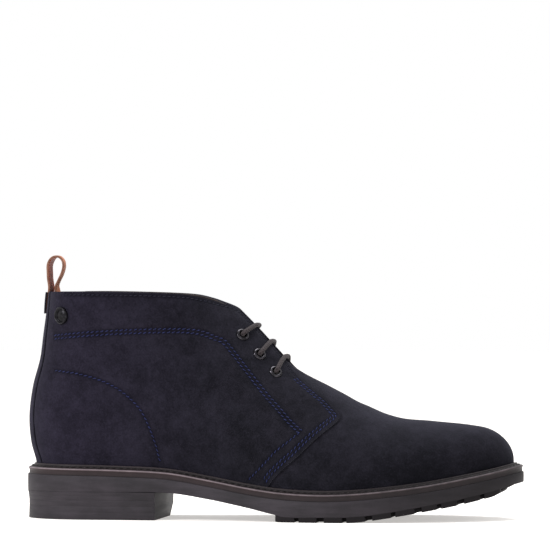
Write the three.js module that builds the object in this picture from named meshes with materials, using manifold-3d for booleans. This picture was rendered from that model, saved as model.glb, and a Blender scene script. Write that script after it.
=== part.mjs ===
// A man's right chukka boot in suede on a lugged rubber sole, as an assembly of named solids.
// Millimetres, +Z up, toe towards +X, the wearer's outer side towards -Y, the inner side towards +Y.
// The curved pieces are all lofted from one description of the last: a table of sections along the foot.
// While the pieces are made, x is measured from the back of the sole. The whole boot is centred last.
import * as THREE from "three";
import { mergeVertices } from "three/addons/utils/BufferGeometryUtils.js";
import Module from "manifold-3d";

const wasm = await Module();
wasm.setup();

// ---------------------------------------------------------------- driving sizes
const HEEL_START = 4.8; // the heel seam at the upper's lower edge
const UPPER_LENGTH = 289.6; // from there to the tip of the toe
const TIP = HEEL_START + UPPER_LENGTH;
const CENTRE = { x: 149.6, y: 1.04 }; // the middle of the sole, over the boot's own origin

const WALL = 2.2; // suede and lining together
const GAP = 0.3; // air left between pieces that touch
const SKIRT = 2.5; // how far the upper goes down behind the welt's bead

const HEEL_ROUND = 33; // length over which the outline closes behind the heel
const TOE_ROUND = 47; // length over which it closes at the toe
const TOE_RISE = 20; // length over which the toe box drops to the welt
const TOE_RISE_POWER = 2.2;
const TOE_SWING = 7; // how far the tip leans to the inner side
const SWING_FROM = 130;

const THROAT_HALF = 6; // half the gap between the two facings
const THROAT_END = 158.5;

const SOLE_REACH = 5.9; // the outsole's edge beyond the upper
const HEEL_REACH = 5.2; // the heel's edge beyond the upper
const WELT_DEPTH = 7; // the welt's underside below the upper's lower edge
const BREAST = 82.5; // the front face of the heel
const SEAT = 16.6; // height of the heel under the outsole
const TOP_LIFT = 8; // thickness of the heel's bottom lift
const CORNER_CUT = 13; // the bottom lift's inner front corner is cut away

const TREAD_DEPTH = 4;
const TREAD_FROM = 157;
const TREAD_TO = 297;
const TREAD_FADE = 14; // the tread thins out over this length at the toe
const CLEAT_PITCH = 14.4;
const TOE_CLEATS_FROM = 240; // from here on the cleats are shorter
const TOE_CLEAT_PITCH = 12.1;
const FIRST_CLEAT = 13; // length of the first cleat
const NOTCH_NARROW = 2.6;
const NOTCH_WIDE = 4.3;
const NOTCH_HEIGHT = 3.2;
const CLEAT_LENGTH = 17; // how far a cleat reaches in from the edge
const POCKET_DEPTH = 2.4; // the middle of the tread lies this much higher
const POCKET_INSET = 8; // it starts this far behind the tread's first edge
const BAR_HALF = 3.2; // half the length of a bar left standing in the pocket

const EYELET_RADIUS = 4;
const EYELET_HOLE = 2.35;
const BARREL_WALL = 0.6;
const FLANGE = 0.5; // height of the eyelet's flange over the curved facing
const LACE_RADIUS = 1.5;
const LACE_LIFT = 2.4; // the lace's middle over the facings
const LACE_RISE = [-1.4, 1.8, 4]; // heights over an eyelet's hole that the lace passes through
const STUD_RADIUS = 5.3;

const LOOP_WIDTH = 15;
const LOOP_THICKNESS = 1.3;

// One row for each section across the foot: its place along the foot, the half-widths to the outer and
// inner side at the upper's lower edge, the heights of that edge, of the ridge over the foot and of the
// outsole's underside, how full the section is (2 is an ellipse, more is squarer), and how far its
// wall swells out over the welt.
const SECTIONS = [
  { x: 0, outer: 29.0, inner: 29.0, edge: 34.0, ridge: 400, under: 16.6, full: 2.4, bulge: 0 },
  { x: 30, outer: 29.6, inner: 29.4, edge: 33.7, ridge: 310, under: 16.6, full: 2.4, bulge: 0 },
  { x: 60, outer: 30.4, inner: 29.4, edge: 33.1, ridge: 232, under: 16.6, full: 2.3, bulge: 0 },
  { x: 90, outer: 32.0, inner: 29.4, edge: 31.7, ridge: 178, under: 16.6, full: 2.15, bulge: 1 },
  { x: 115, outer: 34.6, inner: 30.2, edge: 27.7, ridge: 141.2, under: 13.1, full: 2.0, bulge: 2.5 },
  { x: 140, outer: 38.8, inner: 33.4, edge: 23.2, ridge: 114.3, under: 8.2, full: 1.95, bulge: 3.5 },
  { x: 160, outer: 42.6, inner: 38.0, edge: 20.6, ridge: 93.1, under: 4.0, full: 2.0, bulge: 4 },
  { x: 185, outer: 46.6, inner: 43.8, edge: 19.6, ridge: 78.9, under: 3.9, full: 2.05, bulge: 4 },
  { x: 205, outer: 47.0, inner: 46.0, edge: 20.4, ridge: 69.0, under: 4.3, full: 2.1, bulge: 4 },
  { x: 225, outer: 45.2, inner: 45.8, edge: 22.3, ridge: 61.0, under: 6.9, full: 2.15, bulge: 3.5 },
  { x: 245, outer: 41.6, inner: 43.0, edge: 24.9, ridge: 58.9, under: 10.4, full: 2.2, bulge: 3 },
  { x: 265, outer: 36.8, inner: 38.4, edge: 28.4, ridge: 57.0, under: 14.2, full: 2.25, bulge: 2.5 },
  { x: 285, outer: 32.0, inner: 33.4, edge: 32.5, ridge: 54.2, under: 18.9, full: 2.3, bulge: 2 },
  { x: 305, outer: 28.0, inner: 29.0, edge: 37.5, ridge: 52.0, under: 23.8, full: 2.3, bulge: 2 },
];

// The back of the boot, by height over the upper's lower edge: where the heel seam stands, and how far
// the heel cup and the ankle swell beyond the outline at the sole.
const BACK = [
  { up: -12, seam: 6.2, swell: -2.4 },
  { up: 0, seam: 4.8, swell: 0 },
  { up: 12, seam: 1.6, swell: 2.2 },
  { up: 28, seam: 0.3, swell: 3.6 },
  { up: 45, seam: 2.6, swell: 3.6 },
  { up: 62, seam: 7.0, swell: 3.4 },
  { up: 78, seam: 9.2, swell: 4.4 },
  { up: 92, seam: 11.3, swell: 6.2 },
  { up: 106, seam: 13.2, swell: 8.2 },
];
const SEAM_REACH = 95; // the seam's lean fades out over this length
const SWELL_FROM = 175; // the swelling fades out forward of the ankle
const SWELL_TO = 95;

// The top line, seen from the side.
const COLLAR = [
  { x: -20, z: 136.4 },
  { x: 30, z: 137.0 },
  { x: 70, z: 136.6 },
  { x: 98, z: 135.4 },
  { x: 110, z: 133.3 },
  { x: 119, z: 130.2 },
  { x: 127, z: 126.0 },
  { x: 136, z: 118.8 },
  { x: 150, z: 116.0 },
  { x: 330, z: 116.0 },
];

// The eyelets' centres, seen from the side, from the collar down. Both sides have the same. Towards the
// ridge the lace leans forward from upright by so many degrees.
const EYELETS = [
  { x: 133.0, z: 110.9, lean: 50 },
  { x: 143.5, z: 99.2, lean: 30 },
  { x: 153.5, z: 88.7, lean: 16 },
];
const STUD = { x: 24.8, z: 122.6 };

// The tongue's outline seen from the side, and where it dips to make room for the lace.
const TONGUE = [
  { x: 124, z: 134.5 },
  { x: 107, z: 120.5 },
  { x: 150, z: 76 },
  { x: 172, z: 62 },
  { x: 184, z: 90 },
  { x: 150, z: 125 },
];
const TONGUE_THICKNESS = 2.4;
const TONGUE_DIP = 3.4;
const DIP_FROM = 178;
const DIP_TO = 162;

// The middle of the pull loop's strap, seen from the side, from its outer end over the top and down
// inside the collar, and the middle of the patch sewn over its outer end.
const LOOP = [
  { x: 9.8, z: 124.6 },
  { x: 10.7, z: 131 },
  { x: 11.7, z: 136 },
  { x: 12.1, z: 141 },
  { x: 11.9, z: 147.4 },
  { x: 11.9, z: 153.3 },
  { x: 14.1, z: 157.4 },
  { x: 17.3, z: 158.2 },
  { x: 20.0, z: 156 },
  { x: 20.7, z: 152.2 },
  { x: 19.4, z: 147.4 },
  { x: 17.4, z: 143.6 },
  { x: 15.8, z: 140.6 },
  { x: 15.8, z: 137.6 },
  { x: 16.5, z: 133 },
  { x: 15.6, z: 124.6 },
];
const PATCH = [
  { x: 8.1, z: 123.6 },
  { x: 8.6, z: 128 },
  { x: 9.1, z: 132 },
  { x: 9.8, z: 136.4 },
];
const BEND_TO = 138; // the strap is bent around the heel up to this height and straight above it
const BEND_FADE = 8;
const PATCH_WIDTH = 19;
const PATCH_THICKNESS = 1.4;

// ---------------------------------------------------------------- the last
const { clamp, smoothstep } = THREE.MathUtils;

// A smooth curve through one column of a table, as a function of its first column.
function curveOf(table, across, up) {
  const slopes = table.map((row, i) => {
    const before = table[Math.max(0, i - 1)];
    const after = table[Math.min(table.length - 1, i + 1)];
    return (after[up] - before[up]) / (after[across] - before[across]);
  });
  return (at) => {
    let i = 0;
    while (i < table.length - 2 && at > table[i + 1][across]) i += 1;
    const step = table[i + 1][across] - table[i][across];
    const t = clamp((at - table[i][across]) / step, 0, 1);
    const eased = table[i][up] + t * t * (3 - 2 * t) * (table[i + 1][up] - table[i][up]);
    return eased + step * t * (1 - t) * ((1 - t) * slopes[i] - t * slopes[i + 1]);
  };
}

const section = {};
for (const column of ["outer", "inner", "edge", "ridge", "under", "full", "bulge"])
  section[column] = curveOf(SECTIONS, "x", column);
const seamAt = curveOf(BACK, "up", "seam");
const swellAt = curveOf(BACK, "up", "swell");
const collarAt = curveOf(COLLAR, "x", "z");

// Rises from 0 to 1 as the quarter of an oval does.
function quarterOval(t, power = 2) {
  if (t >= 1) return 1;
  return (1 - (1 - Math.max(t, 0)) ** power) ** (1 / power);
}

function midline(x) {
  return TOE_SWING * Math.max(0, (x - SWING_FROM) / (TIP - SWING_FROM)) ** 2;
}

// Height of the ridge. On a slope it grows by more, so that the wall keeps its thickness.
function ridgeHeight(x, grow) {
  const slope = (section.ridge(x + 2) - section.ridge(x - 2)) / 4;
  const steep = Math.min(Math.hypot(1, slope), 2);
  const rise = quarterOval((TIP + grow - x) / (TOE_RISE + grow), TOE_RISE_POWER);
  return section.edge(x) + (section.ridge(x) + grow * steep - section.edge(x)) * rise;
}

// Half-width of the outline at the upper's lower edge, made larger or smaller by grow.
function halfWidth(x, side, grow, more = 0) {
  const back = quarterOval((x - HEEL_START + grow) / (HEEL_ROUND + grow));
  const toe = quarterOval((TIP + grow - x) / (TOE_ROUND + grow));
  return (section[side](x) + grow + more) * back * toe;
}

// How far the heel seam's lean moves a point of the last along the foot.
function leanAt(along, z) {
  const fade = Math.max(0, 1 - (along - HEEL_START) / SEAM_REACH) ** 2;
  return (seamAt(z - section.edge(along)) - HEEL_START) * fade;
}

// A point of the last's surface at height z. across is its share of the section's half-width and tall
// its share of the section's height.
function lastPoint(along, z, across, tall, side, grow) {
  const ankle = smoothstep(SWELL_FROM - along, 0, SWELL_FROM - SWELL_TO);
  const swell = ankle * swellAt(z - section.edge(along));
  const bulge = section.bulge(along) * Math.sin(Math.PI * clamp(tall, 0, 1));
  const half = across * halfWidth(along, side, grow, swell + bulge);
  const y = midline(along) + (side === "outer" ? -half : half);
  return new THREE.Vector3(along + leanAt(along, z), y, z);
}

// The point of the last's surface that lies at x and z when it is seen from the side.
function sidePoint(x, z, side, grow = 0) {
  let along = x;
  for (let i = 0; i < 6; i += 1) along = x - leanAt(along, z);
  const low = section.edge(along);
  const full = section.full(along);
  const tall = clamp((z - low) / (ridgeHeight(along, grow) - low), 0, 1);
  const across = (1 - tall ** full) ** (1 / full);
  return lastPoint(along, z, across, tall, side, grow);
}

function sideNormal(x, z, side) {
  const step = 0.5;
  const along = sidePoint(x + step, z, side).sub(sidePoint(x - step, z, side));
  const up = sidePoint(x, z + step, side).sub(sidePoint(x, z - step, side));
  const normal = along.cross(up).normalize();
  return side === "outer" ? normal : normal.negate();
}

// ---------------------------------------------------------------- making solids
function toSolid(geometry) {
  const bare = new THREE.BufferGeometry();
  bare.setAttribute("position", geometry.getAttribute("position").clone());
  if (geometry.index) bare.setIndex(geometry.index.clone());
  const merged = mergeVertices(bare, 1e-3);
  const corners = merged.index.array;
  const kept = [];
  for (let i = 0; i < corners.length; i += 3) {
    const [a, b, c] = corners.subarray(i, i + 3);
    if (a !== b && b !== c && c !== a) kept.push(a, b, c);
  }
  const triVerts = new Uint32Array(kept);
  const vertProperties = merged.attributes.position.array;
  return new wasm.Manifold(new wasm.Mesh({ numProp: 3, vertProperties, triVerts }));
}

function toGeometry(solid) {
  const { vertProperties, triVerts } = solid.getMesh();
  const geometry = new THREE.BufferGeometry();
  geometry.setAttribute("position", new THREE.BufferAttribute(new Float32Array(vertProperties), 3));
  geometry.setIndex(new THREE.BufferAttribute(new Uint32Array(triVerts), 1));
  geometry.computeVertexNormals();
  return geometry;
}

// A closed form: rails run from the heel seam to the toe, first up the outer side and then down the
// inner side. A rail is a function of its place, 0 at the back and 1 at the tip.
function loft(rails, stations) {
  const points = [];
  for (let i = 0; i <= stations; i += 1) {
    const place = (1 - Math.cos((Math.PI * i) / stations)) / 2;
    for (const rail of rails) points.push(...rail(place).toArray());
  }
  const faces = [];
  const around = rails.length;
  for (let i = 0; i < stations; i += 1)
    for (let k = 0; k < around; k += 1) {
      const a = i * around + k;
      const b = i * around + ((k + 1) % around);
      faces.push(a, a + around, b, b, a + around, b + around);
    }
  const last = stations * around;
  for (let k = 1; k < around - 1; k += 1)
    faces.push(0, k, k + 1, last, last + k + 1, last + k);
  const geometry = new THREE.BufferGeometry();
  geometry.setAttribute("position", new THREE.Float32BufferAttribute(points, 3));
  geometry.setIndex(faces);
  return toSolid(geometry);
}

// The outer rails, bottom first, and the inner ones, top first.
function bothSides(rail, rows) {
  return [...rows.map((row) => rail("outer", row)), ...rows.toReversed().map((row) => rail("inner", row))];
}

function placeAlong(place, grow) {
  return HEEL_START - grow + (UPPER_LENGTH + 2 * grow) * place;
}

// The last as a closed form, up to a flat top over the collar and down past its lower edge. growAt
// gives how much larger or smaller it is than the upper, at a place along the foot.
function lastForm({ growAt, top, skirt, levels = 9, stations = 42 }) {
  const rail = (side, level) => (place) => {
    const grow = growAt(placeAlong(place, 0));
    const along = placeAlong(place, grow);
    const low = section.edge(along);
    if (level < 0) return lastPoint(along, low - skirt, 1, 0, side, grow);
    const height = ridgeHeight(along, grow) - low;
    const full = section.full(along);
    const reach = Math.min(1, (top - low) / Math.max(height, 1e-6)) ** (full / 2);
    const angle = (Math.asin(reach) * level) / levels;
    const tall = Math.sin(angle) ** (2 / full);
    const across = Math.max(0, Math.cos(angle)) ** (2 / full);
    return lastPoint(along, low + height * tall, across, tall, side, grow);
  };
  const rows = Array.from({ length: levels + 2 }, (_, i) => i - 1);
  return loft(bothSides(rail, rows), stations);
}

// A form with a flat top and bottom across the foot. Each row gives how far its rail reaches beyond the
// upper's lower edge and its height, from the bottom up.
function soleForm(rows, stations = 40) {
  const rail = (side, { reach, height }) => (place) => {
    const x = placeAlong(place, reach);
    const half = halfWidth(x, side, reach);
    return new THREE.Vector3(x, midline(x) + (side === "outer" ? -half : half), height(x));
  };
  return loft(bothSides(rail, rows), stations);
}

// A shape drawn in side view and carried across the boot, from one y to another.
function acrossBoot(outline, from = -90, to = 90) {
  const shape = new THREE.Shape(outline.map(({ x, z }) => new THREE.Vector2(x, z)));
  const geometry = new THREE.ExtrudeGeometry(shape, { depth: to - from, bevelEnabled: false });
  geometry.rotateX(Math.PI / 2);
  geometry.translate(0, to, 0);
  return toSolid(geometry);
}

// A shape drawn in plan and carried up, from one z to another.
function upwards(outline, from, to) {
  const shape = new THREE.Shape(outline.map(({ x, y }) => new THREE.Vector2(x, y)));
  const geometry = new THREE.ExtrudeGeometry(shape, { depth: to - from, bevelEnabled: false });
  geometry.translate(0, 0, from);
  return toSolid(geometry);
}

const between = (x0, x1) =>
  acrossBoot([{ x: x0, z: -50 }, { x: x1, z: -50 }, { x: x1, z: 200 }, { x: x0, z: 200 }]);

// Turns a shape made around +Y so that it stands on the last's surface at a point of the side view.
function standOn(geometry, { x, z }, side) {
  const up = new THREE.Vector3(0, 1, 0);
  const turn = new THREE.Quaternion().setFromUnitVectors(up, sideNormal(x, z, side));
  return geometry.applyQuaternion(turn).translate(...sidePoint(x, z, side).toArray());
}

const lathe = (profile, segments) =>
  new THREE.LatheGeometry(profile.map(([r, h]) => new THREE.Vector2(r, h)), segments);

// ---------------------------------------------------------------- the upper
const SIDES = ["outer", "inner"];

function upper() {
  const outside = lastForm({ growAt: () => 0, top: 150, skirt: SKIRT });
  const inside = lastForm({ growAt: () => -WALL, top: 160, skirt: 8 });
  const topLine = [{ x: -20, z: -10 }, { x: 330, z: -10 }];
  for (let x = 330; x >= -20; x -= x > 150 ? 60 : 5) topLine.push({ x, z: collarAt(x) });
  topLine.push({ x: -20, z: collarAt(-20) });
  const throat = [{ x: 100, y: -THROAT_HALF }];
  for (let i = 0; i <= 8; i += 1) {
    const turn = Math.PI * (i / 8 - 0.5);
    const x = THROAT_END - THROAT_HALF + THROAT_HALF * Math.cos(turn);
    throat.push({ x, y: THROAT_HALF * Math.sin(turn) });
  }
  throat.push({ x: 100, y: THROAT_HALF });
  let solid = outside.subtract(inside).intersect(acrossBoot(topLine)).subtract(upwards(throat, 60, 170));
  const hole = EYELET_HOLE + BARREL_WALL + GAP;
  for (const side of SIDES)
    for (const eyelet of EYELETS) {
      const drill = new THREE.CylinderGeometry(hole, hole, 12, 12);
      solid = solid.subtract(toSolid(standOn(drill, eyelet, side)));
    }
  return solid;
}

function tongue() {
  const dip = (x) => TONGUE_DIP * smoothstep(DIP_FROM - x, 0, DIP_FROM - DIP_TO);
  const top = (x) => -WALL - GAP - dip(x);
  const outside = lastForm({ growAt: top, top: 145, skirt: 2 });
  const inside = lastForm({ growAt: (x) => top(x) - TONGUE_THICKNESS, top: 155, skirt: 6 });
  return outside.subtract(inside).intersect(acrossBoot(TONGUE));
}

// A flat strap along a line seen from the side, bent around the heel seam.
function strap(line, width, thickness, steps) {
  const middle = new THREE.CatmullRomCurve3(line.map(({ x, z }) => new THREE.Vector3(x, 0, z)));
  const face = (offset) =>
    Array.from({ length: steps + 1 }, (_, i) => {
      const at = middle.getPoint(i / steps);
      const along = middle.getTangent(i / steps);
      return new THREE.Vector2(at.x - offset * along.z, at.z + offset * along.x);
    });
  const shape = new THREE.Shape([...face(thickness / 2), ...face(-thickness / 2).reverse()]);
  const geometry = new THREE.ExtrudeGeometry(shape, { depth: width, steps: 4, bevelEnabled: false });
  geometry.rotateX(Math.PI / 2);
  geometry.translate(0, width / 2, 0);
  const position = geometry.getAttribute("position");
  const halfAtCollar = section.outer(0) + swellAt(BACK.at(-1).up);
  for (let i = 0; i < position.count; i += 1) {
    const turn = Math.sqrt(1 - (position.getY(i) / halfAtCollar) ** 2);
    const bend = smoothstep(BEND_TO + BEND_FADE - position.getZ(i), 0, BEND_FADE);
    position.setX(i, position.getX(i) + HEEL_ROUND * (1 - turn) * bend);
  }
  return toSolid(geometry);
}

// ---------------------------------------------------------------- the sole
const overEdge = (rise) => (x) => section.edge(x) + rise;
const overUnder = (rise) => (x) => section.under(x) + rise;
const level = (z) => () => z;

// The board that the foot stands on.
function insole() {
  const reach = -WALL - 3 * GAP;
  return soleForm([
    { reach, height: overEdge(GAP - SKIRT) },
    { reach, height: overEdge(1.2) },
  ]);
}

// The welt and its plate: a lip all round, sloping up to a bead that hugs the upper.
function welt() {
  return soleForm([
    { reach: 5.0, height: overEdge(-WELT_DEPTH) },
    { reach: 5.3, height: overEdge(-WELT_DEPTH + 1) },
    { reach: 4.7, height: overEdge(-4.0) },
    { reach: 2.4, height: overEdge(-1.9) },
    { reach: 1.9, height: overEdge(-1) },
    { reach: 1.1, height: overEdge(-0.5) },
    { reach: GAP, height: overEdge(-1) },
    { reach: GAP, height: overEdge(-SKIRT - GAP) },
  ], 48);
}

// The tread's face: flat on the floor at the ball of the foot, thinning out at the toe.
function ground(x) {
  const depth = TREAD_DEPTH * smoothstep(TREAD_TO - x, 0, TREAD_FADE);
  return Math.max(0, section.under(x) - depth);
}

// Cuts for the tread: notches between the cleats along both edges, and a pocket inside them that
// keeps a row of bars.
function treadCuts() {
  const cuts = [];
  let x = TREAD_FROM + FIRST_CLEAT;
  let wide = false;
  while (x < TREAD_TO - TREAD_FADE / 2) {
    const width = wide ? NOTCH_WIDE : NOTCH_NARROW;
    for (const side of SIDES) {
      const box = new THREE.BoxGeometry(width, 2 * CLEAT_LENGTH, 2 * NOTCH_HEIGHT);
      const half = halfWidth(x, side, SOLE_REACH);
      box.rotateY(-Math.atan((ground(x + 2) - ground(x - 2)) / 4));
      box.translate(x, midline(x) + (side === "outer" ? -half : half), ground(x));
      cuts.push(toSolid(box));
    }
    wide = !wide;
    x += x > TOE_CLEATS_FROM ? TOE_CLEAT_PITCH : CLEAT_PITCH;
  }
  return cuts;
}

function outsole() {
  const body = soleForm([
    { reach: SOLE_REACH - 0.9, height: overUnder(0) },
    { reach: SOLE_REACH, height: overUnder(1) },
    { reach: SOLE_REACH, height: overEdge(-WELT_DEPTH - 1) },
    { reach: SOLE_REACH - 0.7, height: overEdge(-WELT_DEPTH - GAP) },
  ], 48);
  const layer = soleForm([
    { reach: SOLE_REACH - 0.5, height: ground },
    { reach: SOLE_REACH - 0.5, height: overUnder(0.8) },
  ], 48);
  const pocket = soleForm([
    { reach: SOLE_REACH - CLEAT_LENGTH, height: (x) => ground(x) - 3 },
    { reach: SOLE_REACH - CLEAT_LENGTH, height: (x) => ground(x) + POCKET_DEPTH },
  ]).intersect(between(TREAD_FROM + POCKET_INSET, TREAD_TO - 2 * TREAD_FADE));
  let pockets = pocket;
  for (let x = TREAD_FROM + POCKET_INSET + FIRST_CLEAT; x < TREAD_TO - 2 * TREAD_FADE; x += CLEAT_PITCH)
    pockets = pockets.subtract(between(x - BAR_HALF, x + BAR_HALF));
  let tread = layer.intersect(between(TREAD_FROM, TREAD_TO)).subtract(pockets);
  for (const cut of treadCuts()) tread = tread.subtract(cut);
  return body.add(tread);
}

function heelForm(rows) {
  return soleForm(rows, 36).intersect(between(-20, BREAST));
}

function heel() {
  return heelForm([
    { reach: HEEL_REACH - 0.7, height: level(TOP_LIFT + GAP) },
    { reach: HEEL_REACH - 0.5, height: level(12) },
    { reach: HEEL_REACH, height: level(SEAT - GAP) },
  ]);
}

// The bottom lift, with its inner front corner cut off on a slant.
function topLift() {
  const lift = heelForm([
    { reach: HEEL_REACH, height: level(0) },
    { reach: HEEL_REACH - 0.1, height: level(4) },
    { reach: HEEL_REACH - 0.7, height: level(TOP_LIFT) },
  ]);
  const innerEdge = halfWidth(BREAST, "inner", HEEL_REACH);
  const corner = new THREE.BoxGeometry(60, 60, 60).translate(30, 0, 0);
  const outwards = new THREE.Vector3(1 / CORNER_CUT, 1 / CORNER_CUT, -1 / TOP_LIFT).normalize();
  const turn = new THREE.Quaternion().setFromUnitVectors(new THREE.Vector3(1, 0, 0), outwards);
  corner.applyQuaternion(turn);
  corner.translate(BREAST, innerEdge - CORNER_CUT, 0);
  return lift.subtract(toSolid(corner));
}

// ---------------------------------------------------------------- metal and laces
function eyelet(place, side) {
  const barrel = EYELET_HOLE + BARREL_WALL;
  const profile = [
    [EYELET_HOLE, -1.8],
    [barrel, -1.8],
    [barrel, FLANGE],
    [EYELET_RADIUS, FLANGE],
    [EYELET_RADIUS - 0.5, FLANGE + 0.7],
    [EYELET_HOLE + 0.4, FLANGE + 0.7],
    [EYELET_HOLE, FLANGE + 0.3],
    [EYELET_HOLE, -1.8],
  ];
  return toSolid(standOn(lathe(profile, 12), place, side));
}

function stud() {
  const profile = [
    [0, GAP],
    [STUD_RADIUS, GAP],
    [STUD_RADIUS, 1.2],
    [STUD_RADIUS - 0.6, 1.8],
    [STUD_RADIUS - 1.4, 1.2],
    [0, 1.2],
  ];
  return toSolid(standOn(lathe(profile, 20), STUD, "outer"));
}

// One bar of the lace: out of an eyelet, square across the ridge over the gap, and into the other.
function laceBar(hole) {
  const lean = (hole.lean * Math.PI) / 180;
  const lift = new THREE.Vector2(Math.sin(lean), Math.cos(lean));
  const aside = (far) => [hole.x + lift.x * far, hole.z + lift.y * far];
  const facing = (side) => {
    const centre = sidePoint(hole.x, hole.z, side);
    const out = sideNormal(hole.x, hole.z, side);
    const points = LACE_RISE.map((height) => centre.clone().addScaledVector(out, height));
    let edge = 3;
    while (Math.abs(sidePoint(...aside(edge), side).y - midline(hole.x)) > THROAT_HALF) edge += 0.1;
    for (const far of [0.5 * edge, 0.75 * edge, edge]) {
      const clear = sideNormal(...aside(far), side).multiplyScalar(LACE_LIFT);
      points.push(sidePoint(...aside(far), side).add(clear));
    }
    return points;
  };
  const points = [...facing("outer"), ...facing("inner").reverse()];
  const curve = new THREE.CatmullRomCurve3(points, false, "centripetal");
  const outline = new THREE.Shape().absarc(0, 0, LACE_RADIUS, 0, 2 * Math.PI);
  const options = { steps: 24, extrudePath: curve, curveSegments: 4, bevelEnabled: false };
  return toSolid(new THREE.ExtrudeGeometry(outline, options));
}

// ---------------------------------------------------------------- the assembly
const suede = { color: 0x23242f, roughness: 0.95, metalness: 0 };
const leather = { color: 0x96503a, roughness: 0.6, metalness: 0 };
const board = { color: 0x6b6057, roughness: 0.8, metalness: 0 };
const rubber = { color: 0x453f42, roughness: 0.6, metalness: 0 };
const weltRubber = { color: 0x4b3d3c, roughness: 0.55, metalness: 0 };
const gunmetal = { color: 0x2e2d30, roughness: 0.35, metalness: 0.9 };
const cotton = { color: 0x3a3338, roughness: 0.9, metalness: 0 };

const boot = new THREE.Group();
boot.name = "chukka_boot";

function place(name, solid, finish) {
  const mesh = new THREE.Mesh(toGeometry(solid), new THREE.MeshStandardMaterial(finish));
  mesh.name = name;
  mesh.position.set(-CENTRE.x, -CENTRE.y, 0);
  boot.add(mesh);
}

place("top_lift", topLift(), rubber);
place("heel", heel(), rubber);
place("outsole", outsole(), rubber);
place("welt", welt(), weltRubber);
place("insole", insole(), board);
place("upper", upper(), suede);
place("tongue", tongue(), suede);
place("pull_loop", strap(LOOP, LOOP_WIDTH, LOOP_THICKNESS, 27), leather);
place("loop_patch", strap(PATCH, PATCH_WIDTH, PATCH_THICKNESS, 6), suede);
place("stud", stud(), gunmetal);
EYELETS.forEach((at, i) => {
  for (const side of SIDES) place(`eyelet_${side}_${i + 1}`, eyelet(at, side), gunmetal);
  place(`lace_bar_${i + 1}`, laceBar(at), cotton);
});

export default boot;
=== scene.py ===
# %% [markdown]
# # A right chukka boot in dark blue suede
#
# The boot is low, with three pairs of eyelets, and stands on a rubber sole with a separate heel. A maker
# cuts flat panels, sews them together and pulls them over a last, the solid form of a foot. This lesson
# works in the same order: the last comes first, every panel is a sheet laid on it, and each sheet gets its
# thickness, its cut edges and its thread afterwards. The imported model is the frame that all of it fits.

# %% Load the frame
import math

import bmesh
import bpy
from mathutils import Matrix, Vector
from mathutils.bvhtree import BVHTree
from mathutils.geometry import intersect_point_line
from mathutils.kdtree import KDTree


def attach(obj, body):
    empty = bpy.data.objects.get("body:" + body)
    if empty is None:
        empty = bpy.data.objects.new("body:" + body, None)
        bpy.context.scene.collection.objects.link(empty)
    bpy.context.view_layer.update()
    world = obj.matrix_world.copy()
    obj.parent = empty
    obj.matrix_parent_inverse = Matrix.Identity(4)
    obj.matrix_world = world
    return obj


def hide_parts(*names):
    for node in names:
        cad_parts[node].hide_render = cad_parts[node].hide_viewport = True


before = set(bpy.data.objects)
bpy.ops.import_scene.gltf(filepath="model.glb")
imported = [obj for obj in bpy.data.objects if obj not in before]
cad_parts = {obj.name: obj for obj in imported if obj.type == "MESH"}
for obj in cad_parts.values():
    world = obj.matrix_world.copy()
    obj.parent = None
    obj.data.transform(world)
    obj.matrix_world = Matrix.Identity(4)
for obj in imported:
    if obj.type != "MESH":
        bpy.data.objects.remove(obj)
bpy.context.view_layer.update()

# %% [markdown]
# ## The picture
#
# A shoe is shown from its outer side, from far away and nearly at its own height, so that its outline is
# true. A long lens 2.8 m away does that. The camera looks level, turned by 8 degrees towards the heel.

# %% Camera
MM = 0.001
CAMERA_TURN = math.radians(8)
CAMERA_DISTANCE = 2.8
CAMERA_HEIGHT = 0.147
aim = Vector((0.0005, 0, CAMERA_HEIGHT))
towards_camera = Vector((math.sin(CAMERA_TURN), -math.cos(CAMERA_TURN), 0))

lens = bpy.data.cameras.new("camera")
lens.lens = 303
lens.sensor_width = 36
lens.clip_end = 50
camera = bpy.data.objects.new("camera", lens)
camera.location = aim + CAMERA_DISTANCE * towards_camera
camera.rotation_euler = (math.pi / 2, 0, CAMERA_TURN)
bpy.context.collection.objects.link(camera)
bpy.context.scene.camera = camera
print("camera at", tuple(round(v, 3) for v in camera.location))

# %% [markdown]
# Dark suede needs much light. The whole room glows white, a lamp from the upper left gives the side its
# soft light, one overhead draws the edges of collar and toe, and a weak one fills the right.

# %% Lights and floor
world = bpy.data.worlds.new("white room")
world.use_nodes = True
world.node_tree.nodes["Background"].inputs["Color"].default_value = (1, 1, 1, 1)
world.node_tree.nodes["Background"].inputs["Strength"].default_value = 1.0
bpy.context.scene.world = world
bpy.context.scene.view_settings.view_transform = "Standard"


def add_lamp(name, place, size, power):
    """A square lamp that faces the boot."""
    light = bpy.data.lights.new(name, "AREA")
    light.size = size
    light.energy = power
    lamp = bpy.data.objects.new(name, light)
    lamp.location = place
    lamp.rotation_euler = (aim - Vector(place)).to_track_quat("-Z", "Y").to_euler()
    bpy.context.collection.objects.link(lamp)


add_lamp("key", (-1.1, -1.1, 1.0), 0.45, 22)
add_lamp("fill", (1.3, -1.2, 0.6), 1.2, 3)
add_lamp("top", (0.25, 0.3, 1.6), 0.8, 22)

bm = bmesh.new()
bmesh.ops.create_grid(bm, x_segments=2, y_segments=2, size=6)
floor_mesh = bpy.data.meshes.new("floor")
bm.to_mesh(floor_mesh)
bm.free()
floor = bpy.data.objects.new("floor", floor_mesh)
bpy.context.collection.objects.link(floor)

# %% [markdown]
# ## The last
#
# One table describes the last: a row for each section across the foot, in millimetres from the back of
# the sole. A smooth curve runs through each column, so any place on the foot has its own width, height
# and fullness. A second table gives the back of the boot, where the heel cup swells and the seam leans.

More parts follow.
